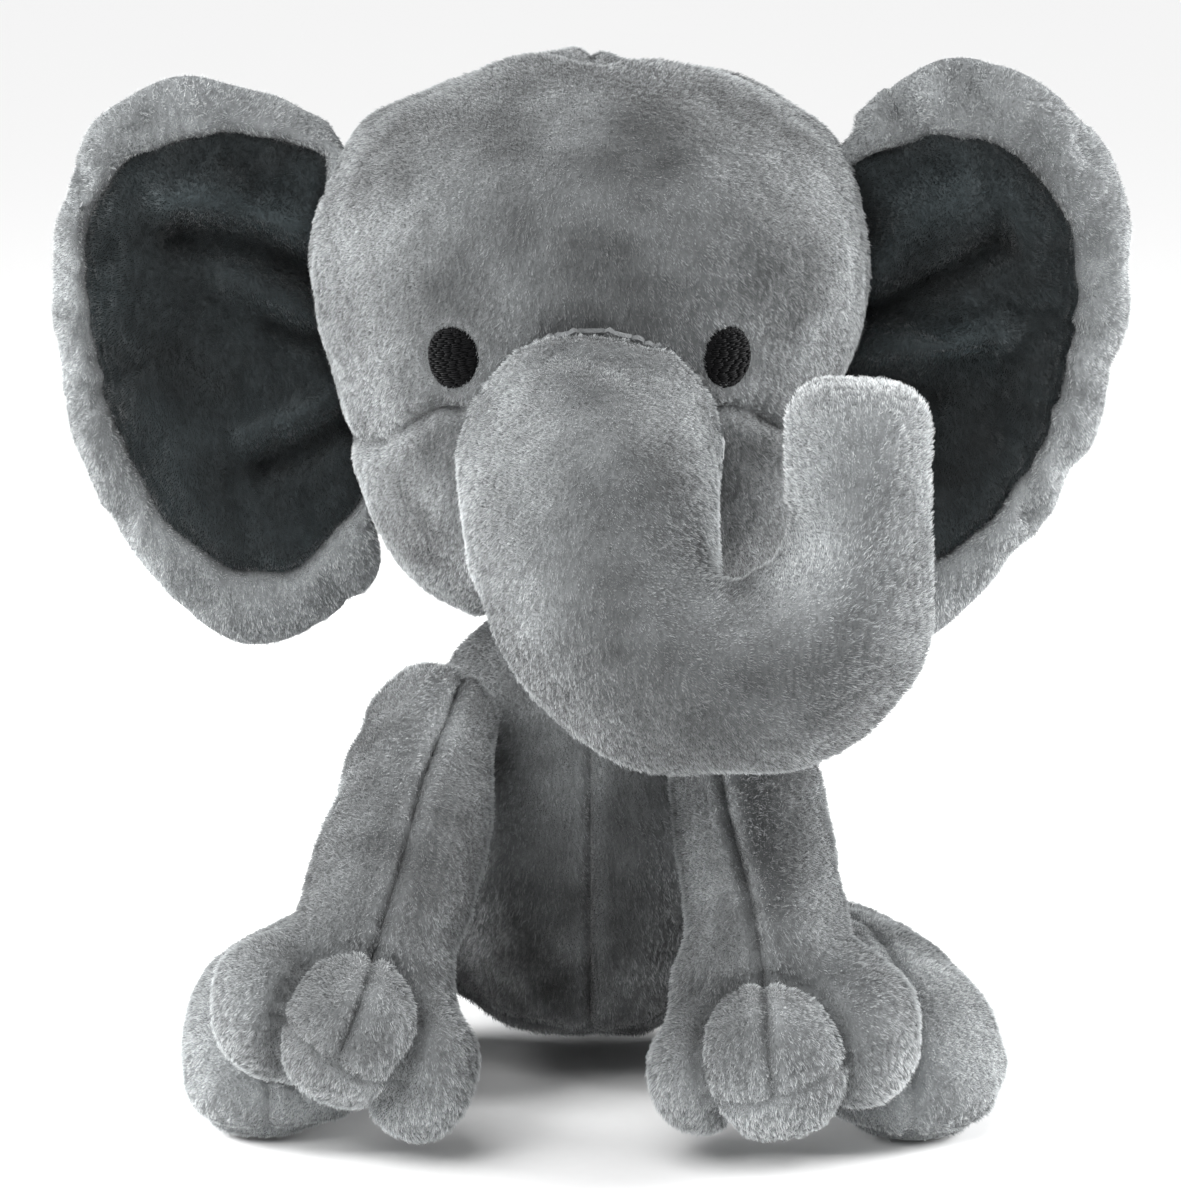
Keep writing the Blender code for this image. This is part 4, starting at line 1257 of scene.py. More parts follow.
def build_trunk():
    points, faces = surface_nets(trunk_field, (-33, -128, 82), (77, -45, 178), 1.3)
    points = onto(trunk_field, relax(points, faces, 2))
    # painted shade: the trunk's pile is made darker as a whole
    points, normals, panels, attributes = sew(
        points, faces, [Seam(trunk_seam, depth=1.2, width=1.5, ridge=0.4)], trunk_panel_of,
        inset=FACE_INSET, extra=trunk_shape, comb=trunk_comb, lumps=0.6, tone=-0.14)
    reach = TRUNK.reach(points)
    curl_reach = TRUNK.length[TRUNK.nearest(TRUNK_CURL[None])[1][0]]
    share = np.clip((reach - (curl_reach - 15)) / 34, 0, 1)
    attributes["bend"] = even_out(share, faces, 40)
    # painted highlight: the trunk's upper side and its tip are made lighter, as lit from above
    upper = smooth_step((points[:, 2] - 106) / 24) * smooth_step((118 - reach) / 20)
    attributes["tone"] += 0.36 * upper + 0.74 * smooth_step((reach - 96) / 26)
    attributes["pile_len"] *= 1 - 0.5 * bell(trunk_root(points) / 2.0)
    table = [(f"trunk_{name}_plush", [f"trunk_upper_{name}_panel", f"trunk_lower_{name}_panel"])
             for name in ("front", "back")]
    table[0][1].extend(["trunk_upper_stuffing", "trunk_lower_stuffing"])
    blend = ("head", "trunk_end", np.array((6, -90, 116)), np.array((38, -100, 108)))
    place_panels(table, points + TRUNK_SHIFT, normals, faces, panels, attributes,
                 blend=blend, length=0.85)


# ---------------------------------------------------------------- arms (front legs) with paws
# path: x, y, z, radius from the shoulder down; palm and the outer, inner and middle toes:
# centre, radii; seam: z, x of the line down the front; toe_line: x, z of the line across the toe
ARM_TABLES = {
    "left": dict(
        shoulder=(33.0, -35.0, 86.0),
        path=[(33, -36, 84, 13.5), (34, -44.5, 76, 16), (35.8, -54.5, 64.5, 17.4),
              (37.4, -64.5, 52.5, 18.2), (39, -74, 42, 18.4)],
        palm=((40.5, -76, 30), (23, 17, 17)), outer=((57.6, -85, 28.4), (13.6, 17, 16.4)),
        inner=((23.4, -87, 19.6), (11.6, 17.5, 14)), toe=((38.1, -97, 24.6), (16.3, 16.5, 16.8)),
        seam=[(104, 26), (84, 27), (76, 28.2), (66, 31), (56.5, 34.1), (46, 36), (38.4, 37.0),
              (33, 36.8), (21, 38.3), (0, 38.5)],
        toe_line=[(20, 17), (24.3, 17.7), (34.5, 18.8), (44.1, 21.6), (51.7, 25), (58, 28)],
    ),
    "right": dict(
        shoulder=(-34.0, -35.0, 86.0),
        path=[(-35, -36, 84, 14.6), (-37, -45, 76, 16.4), (-39.2, -55, 65, 17.6),
              (-43.4, -65, 53.5, 18.0), (-48.2, -74, 43, 17.6)],
        palm=((-52, -76, 30), (23, 17, 17)), outer=((-67.6, -85, 33.0), (14.4, 17, 16)),
        inner=((-36.5, -87, 21.0), (13, 17.5, 15.6)), toe=((-51.7, -96, 30.8), (16.0, 16.5, 17.2)),
        seam=[(104, -25), (100, -26), (80, -36), (62, -41), (50, -44.8), (46, -46), (29, -52.8),
              (15, -55), (0, -56)],
        toe_line=[(-70, 37), (-65, 34.3), (-57.3, 29.8), (-46.2, 22.6), (-38, 18)],
    ),
}


class Arm:
    """An arm's form. All but field() work in the nominal place."""

    def __init__(self, side, shoulder, path, palm, outer, inner, toe, seam, toe_line):
        self.outward = SIDES[side]
        self.palm, self.outer, self.inner, self.toe = palm, outer, inner, toe
        self.toe_at = np.array(toe[0], float)
        self.seam_x, self.toe_z = reading(seam), reading(toe_line)
        self.tube = Tube(path, 90, (0, -1, 0.6))
        self.shift = SHOULDER[side] - np.array(shoulder)
        self.cores = np.array([outer[0], inner[0], path[0][:3]])

    def palm_field(self, points):
        return smooth_min(self.tube.nearest(points)[0], ellipsoid(points, *self.palm), 8)

    def mitt_field(self, points):
        """The arm without its middle toe."""
        body = smooth_min(self.palm_field(points), ellipsoid(points, *self.outer), 6)
        return smooth_min(body, ellipsoid(points, *self.inner), 5)

    def field(self, points):
        points = points - self.shift
        return smooth_min(self.mitt_field(points), ellipsoid(points, *self.toe), 0.6)

    def creases(self, points):
        """How far into the crease round the middle toe, and round the outer one."""
        _, y, z = points.T
        toe_y, toe_z = self.toe_at[1:]
        gap = ellipsoid(points, *self.toe) - self.mitt_field(points)
        middle = bell(gap / 2.0) * smooth_step((toe_y + 15 - y) / 6)
        outer = ellipsoid(points, *self.outer)
        side = bell((outer - self.palm_field(points)) / 2.2) * (np.abs(outer) < 4)
        side = side * smooth_step((toe_y + 12 - y) / 8) * smooth_step((toe_z + 12 - z) / 10)
        return middle, side

    def crease_lift(self, points):
        middle, side = self.creases(points)
        return -1.5 * middle - 0.6 * side

    def facing(self, points):
        """1 at the tube's front, -1 at its back; and the radius."""
        forward, sideways, _, radius = self.tube.local(points)
        return forward / np.maximum(np.hypot(forward, sideways), 1e-6), radius

    def front_line(self, points):
        return points[:, 0] - self.seam_x(points[:, 2])

    def front_mask(self, points):
        """The front, down to the line across the toe."""
        x, _, z = points.T
        front = smooth_step(self.facing(points)[0] * 3 + 0.3)
        return front * np.where(self.on_toe(points), z > self.toe_z(x), z > self.toe_at[2])

    def back_line(self, points):
        facing, radius = self.facing(points)
        return (facing + 0.62) * radius

    def sole_line(self, points):
        return self.tube.reach(points) - (self.tube.length[-1] - 4)

    def across_toe(self, points):
        return points[:, 2] - self.toe_z(points[:, 0])

    def on_toe(self, points):
        return (ellipsoid(points, *self.toe) < 1.6) & (points[:, 1] < self.toe_at[1] + 4)

    def seams(self):
        return [
            Seam(self.front_line, mask=self.front_mask, depth=1.4, width=1.25, ridge=0.55),
            Seam(self.back_line, mask=lambda points: 0.8, depth=1.0, width=1.4),
            Seam(self.sole_line, mask=lambda points: self.back_line(points) < 1,
                 depth=1.0, width=1.4),
            Seam(self.across_toe, mask=self.on_toe, border=False,
                 depth=0.75, width=0.95, ridge=0.25),
        ]

    def panel_of(self, points):
        back = np.where(self.sole_line(points) > 0, 3, 2)
        front = np.where(self.front_line(points) * self.outward > 0, 0, 1)
        return np.where(self.back_line(points) < 0, back, front)

    def comb(self, points):
        _, at = self.tube.nearest(points)
        return self.tube.along[at] + (points - self.toe_at) * np.array((0.03, 0.0, 0.02))


ARMS = {side: Arm(side, **table) for side, table in ARM_TABLES.items()}


def build_arm(side):
    arm = ARMS[side]
    room = 21     # kept round the middles of the lobes and the shoulder
    low, high = arm.cores.min(0) - room, arm.cores.max(0) + room
    low[1] -= 6
    low[2] = min(low[2], 0)
    points, faces = surface_nets(arm.field, low + arm.shift, high + arm.shift, 1.2)
    points = onto(arm.field, relax(points, faces, 1)) - arm.shift
    middle, outer = arm.creases(points)
    points, normals, panels, attributes = sew(
        points, faces, arm.seams(), arm.panel_of, lumps=0.45, dimples=0.3, comb=arm.comb,
        extra=arm.crease_lift)
    # painted shade in the creases round the middle toe and the outer toe
    attributes["tone"] -= 0.3 * middle + 0.12 * outer
    attributes["pile_len"] *= 1 - 0.35 * middle
    # painted highlight: the toes and the low part of the paw are made lighter
    toes = np.min([ellipsoid(points, *lobe) for lobe in (arm.toe, arm.outer, arm.inner)], axis=0)
    painted_paw_light = smooth_step((32 - points[:, 2]) / 22)
    attributes["tone"] += 0.2 * smooth_step((3 - toes) / 4) + 0.46 * painted_paw_light
    attributes["bend"] = even_out(np.clip((arm.tube.reach(points) + 9) / 20, 0, 1), faces, 10)
    table = [
        (f"arm_{side}_outer_plush", [f"arm_{side}_outer_panel", f"arm_{side}_stuffing"]),
        (f"arm_{side}_inner_plush", [f"arm_{side}_inner_panel"]),
        (f"arm_{side}_back_plush", [f"arm_{side}_back_panel"]),
        (f"paw_{side}_sole_plush", [f"paw_{side}_sole_panel"]),
    ]
    start = SHOULDER[side] + np.array((0, 4, 8))
    end = SHOULDER[side] + np.array((0, -8, -10))
    place_panels(table, points + arm.shift, normals, faces, panels, attributes,
                 blend=("torso", f"arm_{side}", start, end), length=0.95)


# ---------------------------------------------------------------- hind legs
# x outward, y, z, half width, half height, from the hip forward
LEG_ROWS = [
    (54.0, 3.0, 18.2, 20.0, 17.0), (59.0, -13.0, 18.6, 22.5, 17.6), (64.0, -30.0, 18.0, 23.6, 18.0),
    (67.5, -46.0, 16.8, 23.4, 17.2), (69.2, -58.0, 14.2, 22.4, 15.2),
    (69.6, -67.0, 10.6, 20.6, 11.6),
]
LEG = curve_rows(LEG_ROWS, 44)
LEG_BY_Y = LEG[np.argsort(LEG[:, 1])]


def leg_reading(y, column):
    return np.interp(y, LEG_BY_Y[:, 1], LEG_BY_Y[:, column])


def leg_shift(side):
    return HIP[side] - np.array((SIDES[side] * 54.0, 3.0, 22.0))


def leg_field(side):
    sign, shift = SIDES[side], leg_shift(side)

    def field(points):
        points = points - shift
        best = np.full(len(points), 1e9)
        for x, y, z, width, height in LEG:
            radii = np.array((width, (width + height) / 2, height))
            best = np.minimum(best, ellipsoid(points, (sign * x, y, z), radii))
        # cut flat just below the floor
        return -smooth_min(-best, points[:, 2] + 0.6, 3.0)

    return field


def build_leg(side):
    sign, shift = SIDES[side], leg_shift(side)
    leg, arm = leg_field(side), ARMS[side].field

    def clear_of_arm(points):
        return np.maximum(leg(points), 0.9 - arm(points))

    def top_line(points):
        return (points[:, 0] - sign * leg_reading(points[:, 1], 0)) * sign

    def sole_line(points):
        _, y, z = points.T
        return z - leg_reading(y, 2) + 0.66 * leg_reading(y, 4)

    def panel_of(points):
        return np.where(sole_line(points) < 0, 2, np.where(top_line(points) > 0, 0, 1))

    near_x, far_x = sorted((sign * 30.0, sign * 93.0))
    low = np.array((near_x, -87.0, -3.0)) + shift
    high = np.array((far_x, 27.0, 48.0)) + shift
    points, faces = surface_nets(clear_of_arm, low, high, 1.5)
    points = onto(clear_of_arm, relax(points, faces, 2)) - shift
    seams = [
        Seam(top_line, mask=lambda points: sole_line(points) > -1,
             depth=0.8, width=1.4, ridge=0.3),
        Seam(sole_line, depth=1.0, width=1.5, ridge=0.3),
    ]
    points, normals, panels, attributes = sew(
        points, faces, seams, panel_of, lumps=0.6, dimples=0.3, comb=(sign * 0.4, -1, -0.5),
        step=1.5)
    points[:, 2] = np.maximum(points[:, 2], FLOOR_GAP)
    y = points[:, 1]
    attributes["bend"] = even_out(np.clip((12 - y + 3) / 24, 0, 1), faces, 6)
    # painted highlight: the leg is made lighter, most of all toward the front of its foot
    attributes["tone"] += 0.14 + 0.56 * smooth_step((-30 - y) / 20)
    points = points + shift
    table = [
        (f"leg_{side}_outer_plush", [f"leg_{side}_outer_panel", f"leg_{side}_stuffing"]),
        (f"leg_{side}_inner_plush", [f"leg_{side}_inner_panel"]),
        (f"leg_{side}_sole_plush", [f"leg_{side}_sole_panel"]),
    ]
    start, end = HIP[side] + np.array((0, 9, 0)), HIP[side] + np.array((0, -15, 0))
    place_panels(table, points, normals, faces, panels, attributes,
                 bald=points[faces][:, :, 2].mean(1) < BALD_BELOW,
                 blend=("torso", f"leg_{side}", start, end), length=0.85)


# ---------------------------------------------------------------- torso
# z, half width, depth to the front, depth to the back, squareness
TORSO_ROWS = [
    (0.0, 0.0, 0.0, 0.0, 2.0), (0.01, 13.0, 12.0, 14.0, 2.0), (0.02, 24.0, 23.0, 26.0, 2.0),
    (3.5, 30.0, 32.5, 37.0, 2.05), (12.0, 33.5, 40.5, 48.0, 2.1), (24.0, 35.5, 44.5, 55.0, 2.15),
    (36.0, 38.5, 45.5, 57.0, 2.15), (47.0, 42.5, 44.5, 55.5, 2.15), (58.0, 43.5, 42.5, 52.0, 2.1),
    (69.0, 41.0, 39.5, 47.5, 2.05), (79.0, 37.5, 36.0, 42.0, 2.0), (88.0, 33.5, 31.5, 36.0, 2.0),
    (95.0, 29.5, 27.5, 30.0, 2.0), (102.0, 23.0, 22.5, 23.0, 2.0), (108.0, 17.9, 17.9, 17.9, 2.0),
    (113.0, 11.6, 11.6, 11.6, 2.0), (116.0, 0.0, 0.0, 0.0, 2.0),
]
TORSO_Y = 4.0
TORSO = Profile(TORSO_ROWS, TORSO_Y)
NECK_BALL = np.array((0.0, TORSO_Y, 92.0))    # the top of the torso is rounded about here
NECK_BALL_RADIUS = 24.0


def in_torso(points):
    in_ball = np.linalg.norm(points - NECK_BALL, axis=1) < NECK_BALL_RADIUS
    return TORSO.holds(points) & ((points[:, 2] < 101.5) | in_ball)


def underside(points):
    """Height of the base, which rises to the front and the sides."""
    rise = 7.0 - 0.176 * points[:, 1] + 0.008 * points[:, 0] ** 2
    return 0.5 * (rise + np.sqrt(rise * rise + 9)) - 0.75


def side_line(points):
    return points[:, 1] - TORSO_Y


def base_line(points):
    return points[:, 2] - underside(points) - 0.9


def above_base(points):
    return smooth_step((base_line(points) + 1) / 2)


def torso_panel_of(points):
    upper = np.where(side_line(points) < 0, 0, 2) + (points[:, 0] < 0)
    return np.where(base_line(points) < 0, 4, upper)


def torso_surface():
    points, faces = star(np.array((0.0, TORSO_Y, 50.0)), in_torso, 58)
    points = relax(points, faces, 3)
    # drawn in clear of the limbs
    limbs = [ARMS[side].field for side in SIDES] + [leg_field(side) for side in SIDES]
    for _ in range(5):
        for limb in limbs:
            value, slope = gradient_of(limb, points)
            push = np.maximum(0.6 - value, 0) / np.maximum((slope**2).sum(1), 0.2)
            points = points + slope * np.minimum(push, 3)[:, None]
        points[:, 2] = np.maximum(points[:, 2], 0)
    z = points[:, 2]
    points[:, 2] = np.where(z < 46, -smooth_min(-z, -underside(points), 6.0), z)
    points = clear_ball(points, TAIL_ROOT, 5.4)
    return relax(points, faces, 2, 0.35), faces


def build_torso():
    points, faces = torso_surface()
    seams = [
        Seam(base_line, depth=1.2, width=1.6, ridge=0.4),
        Seam(lambda points: points[:, 0], mask=above_base, depth=1.5, width=1.4, ridge=0.5),
        Seam(side_line, mask=above_base, depth=1.1, width=1.5),
    ]
    points, normals, panels, attributes = sew(
        points, faces, seams, torso_panel_of, lumps=0.7, dimples=0.35, step=1.5,
        comb=(0, -0.2, -1))
    # painted shade low on the belly, between the limbs
    x, y, z = points.T
    belly = 0.57 * smooth_step((72 - z) / 40) * smooth_step((2 - y) / 10)
    attributes["tone"] -= belly * smooth_step((40 - np.abs(x)) / 10)
    points[:, 2] = np.maximum(z, FLOOR_GAP)
    middles = points[faces].mean(1)
    at_neck = np.linalg.norm(middles - NECK_BALL, axis=1) < 24.6
    table = [
        ("torso_front_left_plush", ["torso_front_left_panel", "torso_stuffing"]),
        ("torso_front_right_plush", ["torso_front_right_panel"]),
        ("torso_back_left_plush", ["torso_back_left_panel"]),
        ("torso_back_right_plush", ["torso_back_right_panel"]),
        ("torso_base_plush", ["torso_base_panel", "seat_pellet_bag"]),
    ]
    place_panels(table, points, normals, faces, panels, attributes,
                 bald=(middles[:, 2] < BALD_BELOW) | at_neck & (middles[:, 2] > 103),
                 body="torso", length=0.85)


# ---------------------------------------------------------------- neck ring
def build_neck():
    """A gathered ring of plush where the head is sewn on."""
    cols, rows, ball_radius = 150, 13, 24.9
    low, high = box_of("neck_seam_band")
    angle = np.linspace(0, 2 * math.pi, cols, endpoint=False)
    gathers = np.sin(angle * 41 + 3 * np.sin(angle * 3))
    rings = []
    for i in range(rows):
        z = low[2] + (high[2] - low[2]) * i / (rows - 1)
        swell = math.sin(math.pi * i / (rows - 1))
        base = math.sqrt(ball_radius**2 - (z - NECK[2]) ** 2)
        radius = base + 0.7 * swell + 0.22 * gathers * swell
        x, y = NECK[0] + radius * np.sin(angle), NECK[1] - radius * np.cos(angle)
        rings.append(columns(x, y, z))
    points = np.concatenate(rings)
    faces = grid_quads(rows, cols)
    attributes = {
        "pile_len": np.full(len(points), 0.35),
        "tone": np.full(len(points), 0.85),
        "comb": np.broadcast_to((0.0, 0.0, -1.0), points.shape),
    }
    piece = shell("neck_seam_ring", points, normals_of(points, faces), faces, attributes,
                  thick=THIN_SKIN)
    place(piece, ["neck_seam_band"], body="neck", density=4.0)


# ---------------------------------------------------------------- tail
# x, y, z, radius, from inside the torso to the tip
TAIL_ROWS = [
    (0, 58.5, 34.5, 5.0), (0, 62.5, 33.0, 4.9), (0, 66.0, 29.5, 4.6), (0, 67.3, 25, 4.2),
    (0, 67.5, 20, 3.9), (0, 66.8, 14, 4.0), (0, 66.4, 9.0, 4.6), (0, 66.3, 7.0, 4.6),
]
TAIL_SHIFT = TAIL_ROOT - np.array((0.0, 65.8, 31.0))


def build_tail():
    tube = Tube(TAIL_ROWS, 60, (0, 1, 0.4))

    def field(points):
        return tube.nearest(points)[0]

    points, faces = surface_nets(field, (-7, 51, 0), (7, 75, 42), 0.8)
    points = onto(field, relax(points, faces, 1))
    seam = Seam(lambda points: points[:, 0], mask=lambda points: points[:, 1] > 66,
                border=False, depth=0.6, width=0.9, ridge=0.2)
    points, normals, _, attributes = sew(
        points, faces, [seam], lambda points: np.zeros(len(points), int), inset=0.8,
        lumps=0.1, dimples=0.08, step=0.8)
    attributes["bend"] = np.clip((tube.reach(points) - 4) / 9, 0, 1)
    piece = shell("tail_plush", points + TAIL_SHIFT, normals, faces, attributes, thick=THIN_SKIN)
    start, end = TAIL_ROOT + np.array((0, 0, 4)), TAIL_ROOT + np.array((0, 0, -6))
    place(piece, ["tail_panel", "tail_stuffing"], blend=("torso", "tail", start, end), length=0.85)


# ---------------------------------------------------------------- ears
# Outlines and folds are drawn as (out, up) points: out is x away from the middle of the body.
EAR_OUTER = {
    "left": [
        (58.5, 217.5), (66.0, 224.5), (75.6, 229.1), (87.0, 231.0), (98.5, 228.5), (110.0, 221.0),
        (117.5, 211.5), (122.0, 199.0), (123.8, 186.0), (122.8, 171.0), (120.2, 154.0),
        (114.0, 138.0), (105.5, 122.5), (95.0, 109.0), (84.0, 99.5), (73.5, 94.8), (65.0, 96.6),
        (56.5, 102.0), (48.4, 109.4), (48.2, 121.0), (56.5, 137.0), (61.2, 150.0), (64.5, 162.0),
        (67.2, 174.0), (68.2, 186.0), (66.0, 198.0), (61.8, 209.0)],
    "right": [
        (58.5, 216.5), (67.0, 221.5), (80.4, 225.2), (91.8, 226.8), (101.0, 225.0), (109.0, 220.5),
        (114.4, 213.5), (119.6, 201.2), (122.8, 187.2), (123.5, 170.9), (121.6, 154.3),
        (117.8, 140.0), (112.0, 126.7), (103.3, 112.7), (93.0, 101.6), (82.7, 95.4), (74.0, 94.6),
        (65.6, 96.6), (57.0, 101.6), (48.4, 109.4), (48.2, 121.0), (56.5, 137.0), (61.2, 150.0),
        (64.5, 162.0), (67.2, 174.0), (68.2, 186.0), (66.0, 198.0), (61.8, 208.5)],
}
EAR_INNER = {
    "left": [
        (66.0, 205.0), (72.0, 210.5), (81.0, 212.6), (93.0, 210.0), (102.0, 202.0), (108.0, 191.5),
        (110.5, 177.5), (108.0, 160.0), (104.5, 146.5), (98.0, 133.0), (90.0, 123.5),
        (80.5, 115.8), (70.0, 113.5), (62.0, 118.0), (57.5, 125.5), (58.9, 137.0), (61.6, 150.0),
        (64.9, 162.0), (67.6, 174.0), (68.6, 186.0), (66.6, 197.0)],
    "right": [
        (66.0, 208.0), (73.0, 212.0), (84.5, 213.0), (98.0, 210.5), (107.0, 205.0), (112.5, 196.5),
        (114.5, 185.0), (113.4, 169.0), (110.0, 153.0), (104.5, 137.5), (96.5, 124.5),
        (88.0, 116.6), (80.5, 113.4), (73.0, 112.6), (66.0, 114.6), (60.0, 120.5), (55.5, 128.0),
        (57.5, 138.0), (61.6, 150.0), (64.9, 162.0), (67.6, 174.0), (68.6, 186.0), (66.6, 197.5)],
}
# folds: line, width, forward rise; a negative rise sinks back
EAR_FOLDS = {
    "left": [
        ([(57, 171.6), (65.3, 172.9), (73, 176.2), (82, 181), (92, 188)], 4.4, -5.4),
        ([(60, 178), (66, 186), (74, 194), (84, 200)], 5.0, 3.8),
        ([(57, 165), (68, 165.6), (79, 165.4), (92, 167)], 4.6, 4.2),
        ([(57, 156), (68, 155), (77, 153)], 5.0, -3.6),
        ([(60, 199), (64, 192)], 5.5, -3.4), ([(88, 205), (96, 196)], 9, 1.2),
        ([(92, 160), (88, 140)], 10, -1.6), ([(70, 224), (71, 214)], 3.2, -2.6),
        ([(78, 226), (79, 215)], 3.6, 1.4), ([(63, 222), (65, 213)], 3.2, 1.3),
    ],
    "right": [
        ([(96, 198), (83, 197.5), (72, 194), (60, 190)], 4.2, 4.2),
        ([(92, 190), (80, 188.5), (70, 184), (60, 178)], 4.2, -5.0),
        ([(82, 181), (70, 176), (59, 171)], 4.6, 2.6), ([(72, 169), (58, 164)], 3.0, -2.6),
        ([(78, 144), (68, 148.5), (57, 154)], 3.6, 3.4),
        ([(74, 137.5), (65, 141.5), (56, 147)], 3.6, -3.8),
        ([(84, 168), (92, 160)], 13, -1.6), ([(60, 122), (72, 118)], 7, 1.6),
        ([(100, 150), (94, 134)], 7, 1.3),
    ],
}
EAR_MIDDLE = {"left": (90.1, 5.3, 162.75), "right": (-89.95, 5.45, 160.85)}   # nominal
EAR_C = np.array((90.0, 163.0))     # the outlines are read in rings about this point
EAR_SEEDS = {"left": (41, 31), "right": (43, 33)}     # of the edge's wobble and the rim's puckers
EAR_COLS = 320
INNER_ROWS, RIM_ROWS, BACK_ROWS = 30, 12, 30
FRONT_ROWS = INNER_ROWS + RIM_ROWS
HUB = 0.012            # share of the radius where the rings stop short of the centre
# (z, out) of the root, along the side of the head
ROOT_OUT = reading([
    (94, 60), (102, 57), (109, 48.5), (121, 48.5), (137, 56.5), (150, 61.2), (162, 64.5),
    (174, 67.2), (186, 68.2), (198, 66), (209, 61.8), (217, 58.5)])
# (z, out) of where the ear starts to bend
BEND_OUT = reading([(94, 54), (121, 54), (131, 56), (214, 60), (231, 60)])


def polar(outline):
    """An outline's distance from EAR_C as a function of the angle."""
    points = curve_rows(outline + [outline[0]], 30 * len(outline)) - EAR_C
    angle = np.arctan2(points[:, 1], points[:, 0])
    radius = np.hypot(points[:, 0], points[:, 1])
    order = np.argsort(angle)
    angle, radius = angle[order], radius[order]
    return lambda at: np.interp(at, angle, radius, period=2 * math.pi)


def line_distance(out, up, line):
    if len(line) > 2:
        places = curve_rows(line, 40)
    else:
        places = np.linspace(line[0], line[1], 40)
    return np.hypot(out[:, None] - places[:, 0], up[:, None] - places[:, 1]).min(1)


class Ear:
    """An ear's sheet in rings: out over the inner panel and rim, and back over the back panel."""

    def __init__(self, side):
        self.side, self.sign = side, SIDES[side]
        self.inner_at = polar(EAR_INNER[side])
        wobble_seed, self.pucker_seed = EAR_SEEDS[side]
        wobble = Waves(wobble_seed, 26.0)
        angle = np.linspace(-math.pi, math.pi, EAR_COLS, endpoint=False)
        outer = polar(EAR_OUTER[side])(angle)
        inner = np.minimum(self.inner_at(angle), outer - 1.6)
        circle = columns(60 * np.cos(angle), 60 * np.sin(angle), 0 * angle)
        free = np.cos(angle) > -0.35
        outer = outer - 1.3 + 0.55 * wobble(circle) * free
        inner = np.minimum(inner + 0.35 * wobble(circle * 1.7), outer - 1.4)
        rings = [inner * share for share in np.linspace(HUB, 1, INNER_ROWS)]
        rings += [inner + (outer - inner) * share for share in np.linspace(0, 1, RIM_ROWS + 1)[1:]]
        rings += [outer * share for share in np.linspace(1, HUB, BACK_ROWS)[1:]]
        self.angle, self.inner, self.outer = angle, inner, outer
        self.rho = np.array(rings)
        self.front = np.zeros(self.rho.shape, bool)
        self.front[:FRONT_ROWS] = True
        self.make_points()
        self.make_faces()

    def make_points(self):
        rho, inner, front = self.rho, self.inner, self.front
        out = EAR_C[0] + rho * np.cos(self.angle)
        z = EAR_C[1] + rho * np.sin(self.angle)
        # the root is drawn in against the side of the head
        head_width = HEAD.at(z)[0]
        edge = ROOT_OUT(z)
        reach = smooth_step((z - 121) / 10) * smooth_step((214 - z) / 6)
        gap = np.maximum(edge - (head_width - 3.0), 0) * reach
        out = out - gap * (1 - smooth_step((out - edge) / 16))
        # the middle of the sheet sweeps forward as it goes out
        part = np.clip((out - 56.0) / 68.0, 0, 1.2)
        height = (z - 163.0) / 62.0
        middle = 7.0 - 7.5 * part**2 - 4.0 * part * height**2 + 3.0 * part
        flat_out, flat_z = out.ravel(), z.ravel()
        fold = np.zeros(len(flat_out))
        for line, width, rise in EAR_FOLDS[self.side]:
            fold -= rise * bell(line_distance(flat_out, flat_z, line) / width)
        fold = fold.reshape(out.shape) * (1 - 0.25 * smooth_step((out - 92) / 14))
        # painted highlight on the folds' ridges and painted shade in their valleys
        slope = np.where(-fold > 0, 0.22, 0.13)
        self.brushed = self.flat(np.clip(-fold, -4, 4) * slope * front * (rho < inner), 0)
        # half the thickness, with a puffed rim and a groove at the rim's seam
        share = rho / self.outer
        round_off = np.sqrt(np.maximum(1 - share**14, 0))
        across_rim = np.clip((rho - inner) / np.maximum(self.outer - inner, 1e-6), 0, 1)
        half = (1.3 + 2.3 * np.sqrt(np.maximum(1 - share**2, 0))) * round_off
        puff = (1.5 * np.sin(math.pi * across_rim) ** 0.8) * round_off * (rho > inner)
        half_front = half + puff - 1.0 * bell(np.abs(rho - inner) / 1.8)
        y = middle + fold + np.where(front, -half_front, half)
        spots = columns(flat_out * self.sign, 0 * flat_out, flat_z)
        y = y + 0.5 * DIMPLES(spots).reshape(out.shape) * 0.8
        grid = columns(self.sign * out, y, z)
        self.points = np.concatenate([grid.reshape(-1, 3), [grid[0].mean(0), grid[-1].mean(0)]])

    def flat(self, values, at_hubs):
        """One value for each point, with the two hubs last."""
        values = np.broadcast_to(values, self.rho.shape).ravel()
        return np.concatenate([values, np.broadcast_to(at_hubs, 2)])

    def make_faces(self):
        """Faces, and the panel of each: 0 inner, 1 rim, 2 back."""
        rows = len(self.rho)
        front_hub, back_hub = rows * EAR_COLS, rows * EAR_COLS + 1
        j = np.arange(EAR_COLS)
        k = (j + 1) % EAR_COLS
        last = (rows - 1) * EAR_COLS
        front_cap = columns(k, j, front_hub, front_hub)
        back_cap = columns(last + j, last + k, back_hub, back_hub)
        faces = np.concatenate([grid_quads(rows, EAR_COLS), front_cap, back_cap])
        if self.side == "left":
            # its rings run the other way round, so its faces are turned over
            triangle = faces[:, 2] == faces[:, 3]
            turned = faces[:, ::-1].copy()
            turned[triangle] = faces[triangle][:, [1, 0, 2, 2]]
            faces = turned
        row = np.concatenate([
            np.repeat(np.arange(rows - 1), EAR_COLS), np.full(EAR_COLS, -1),
            np.full(EAR_COLS, rows)])
        self.faces = faces
        self.panels = np.searchsorted([INNER_ROWS - 1, FRONT_ROWS - 1], row, side="right")

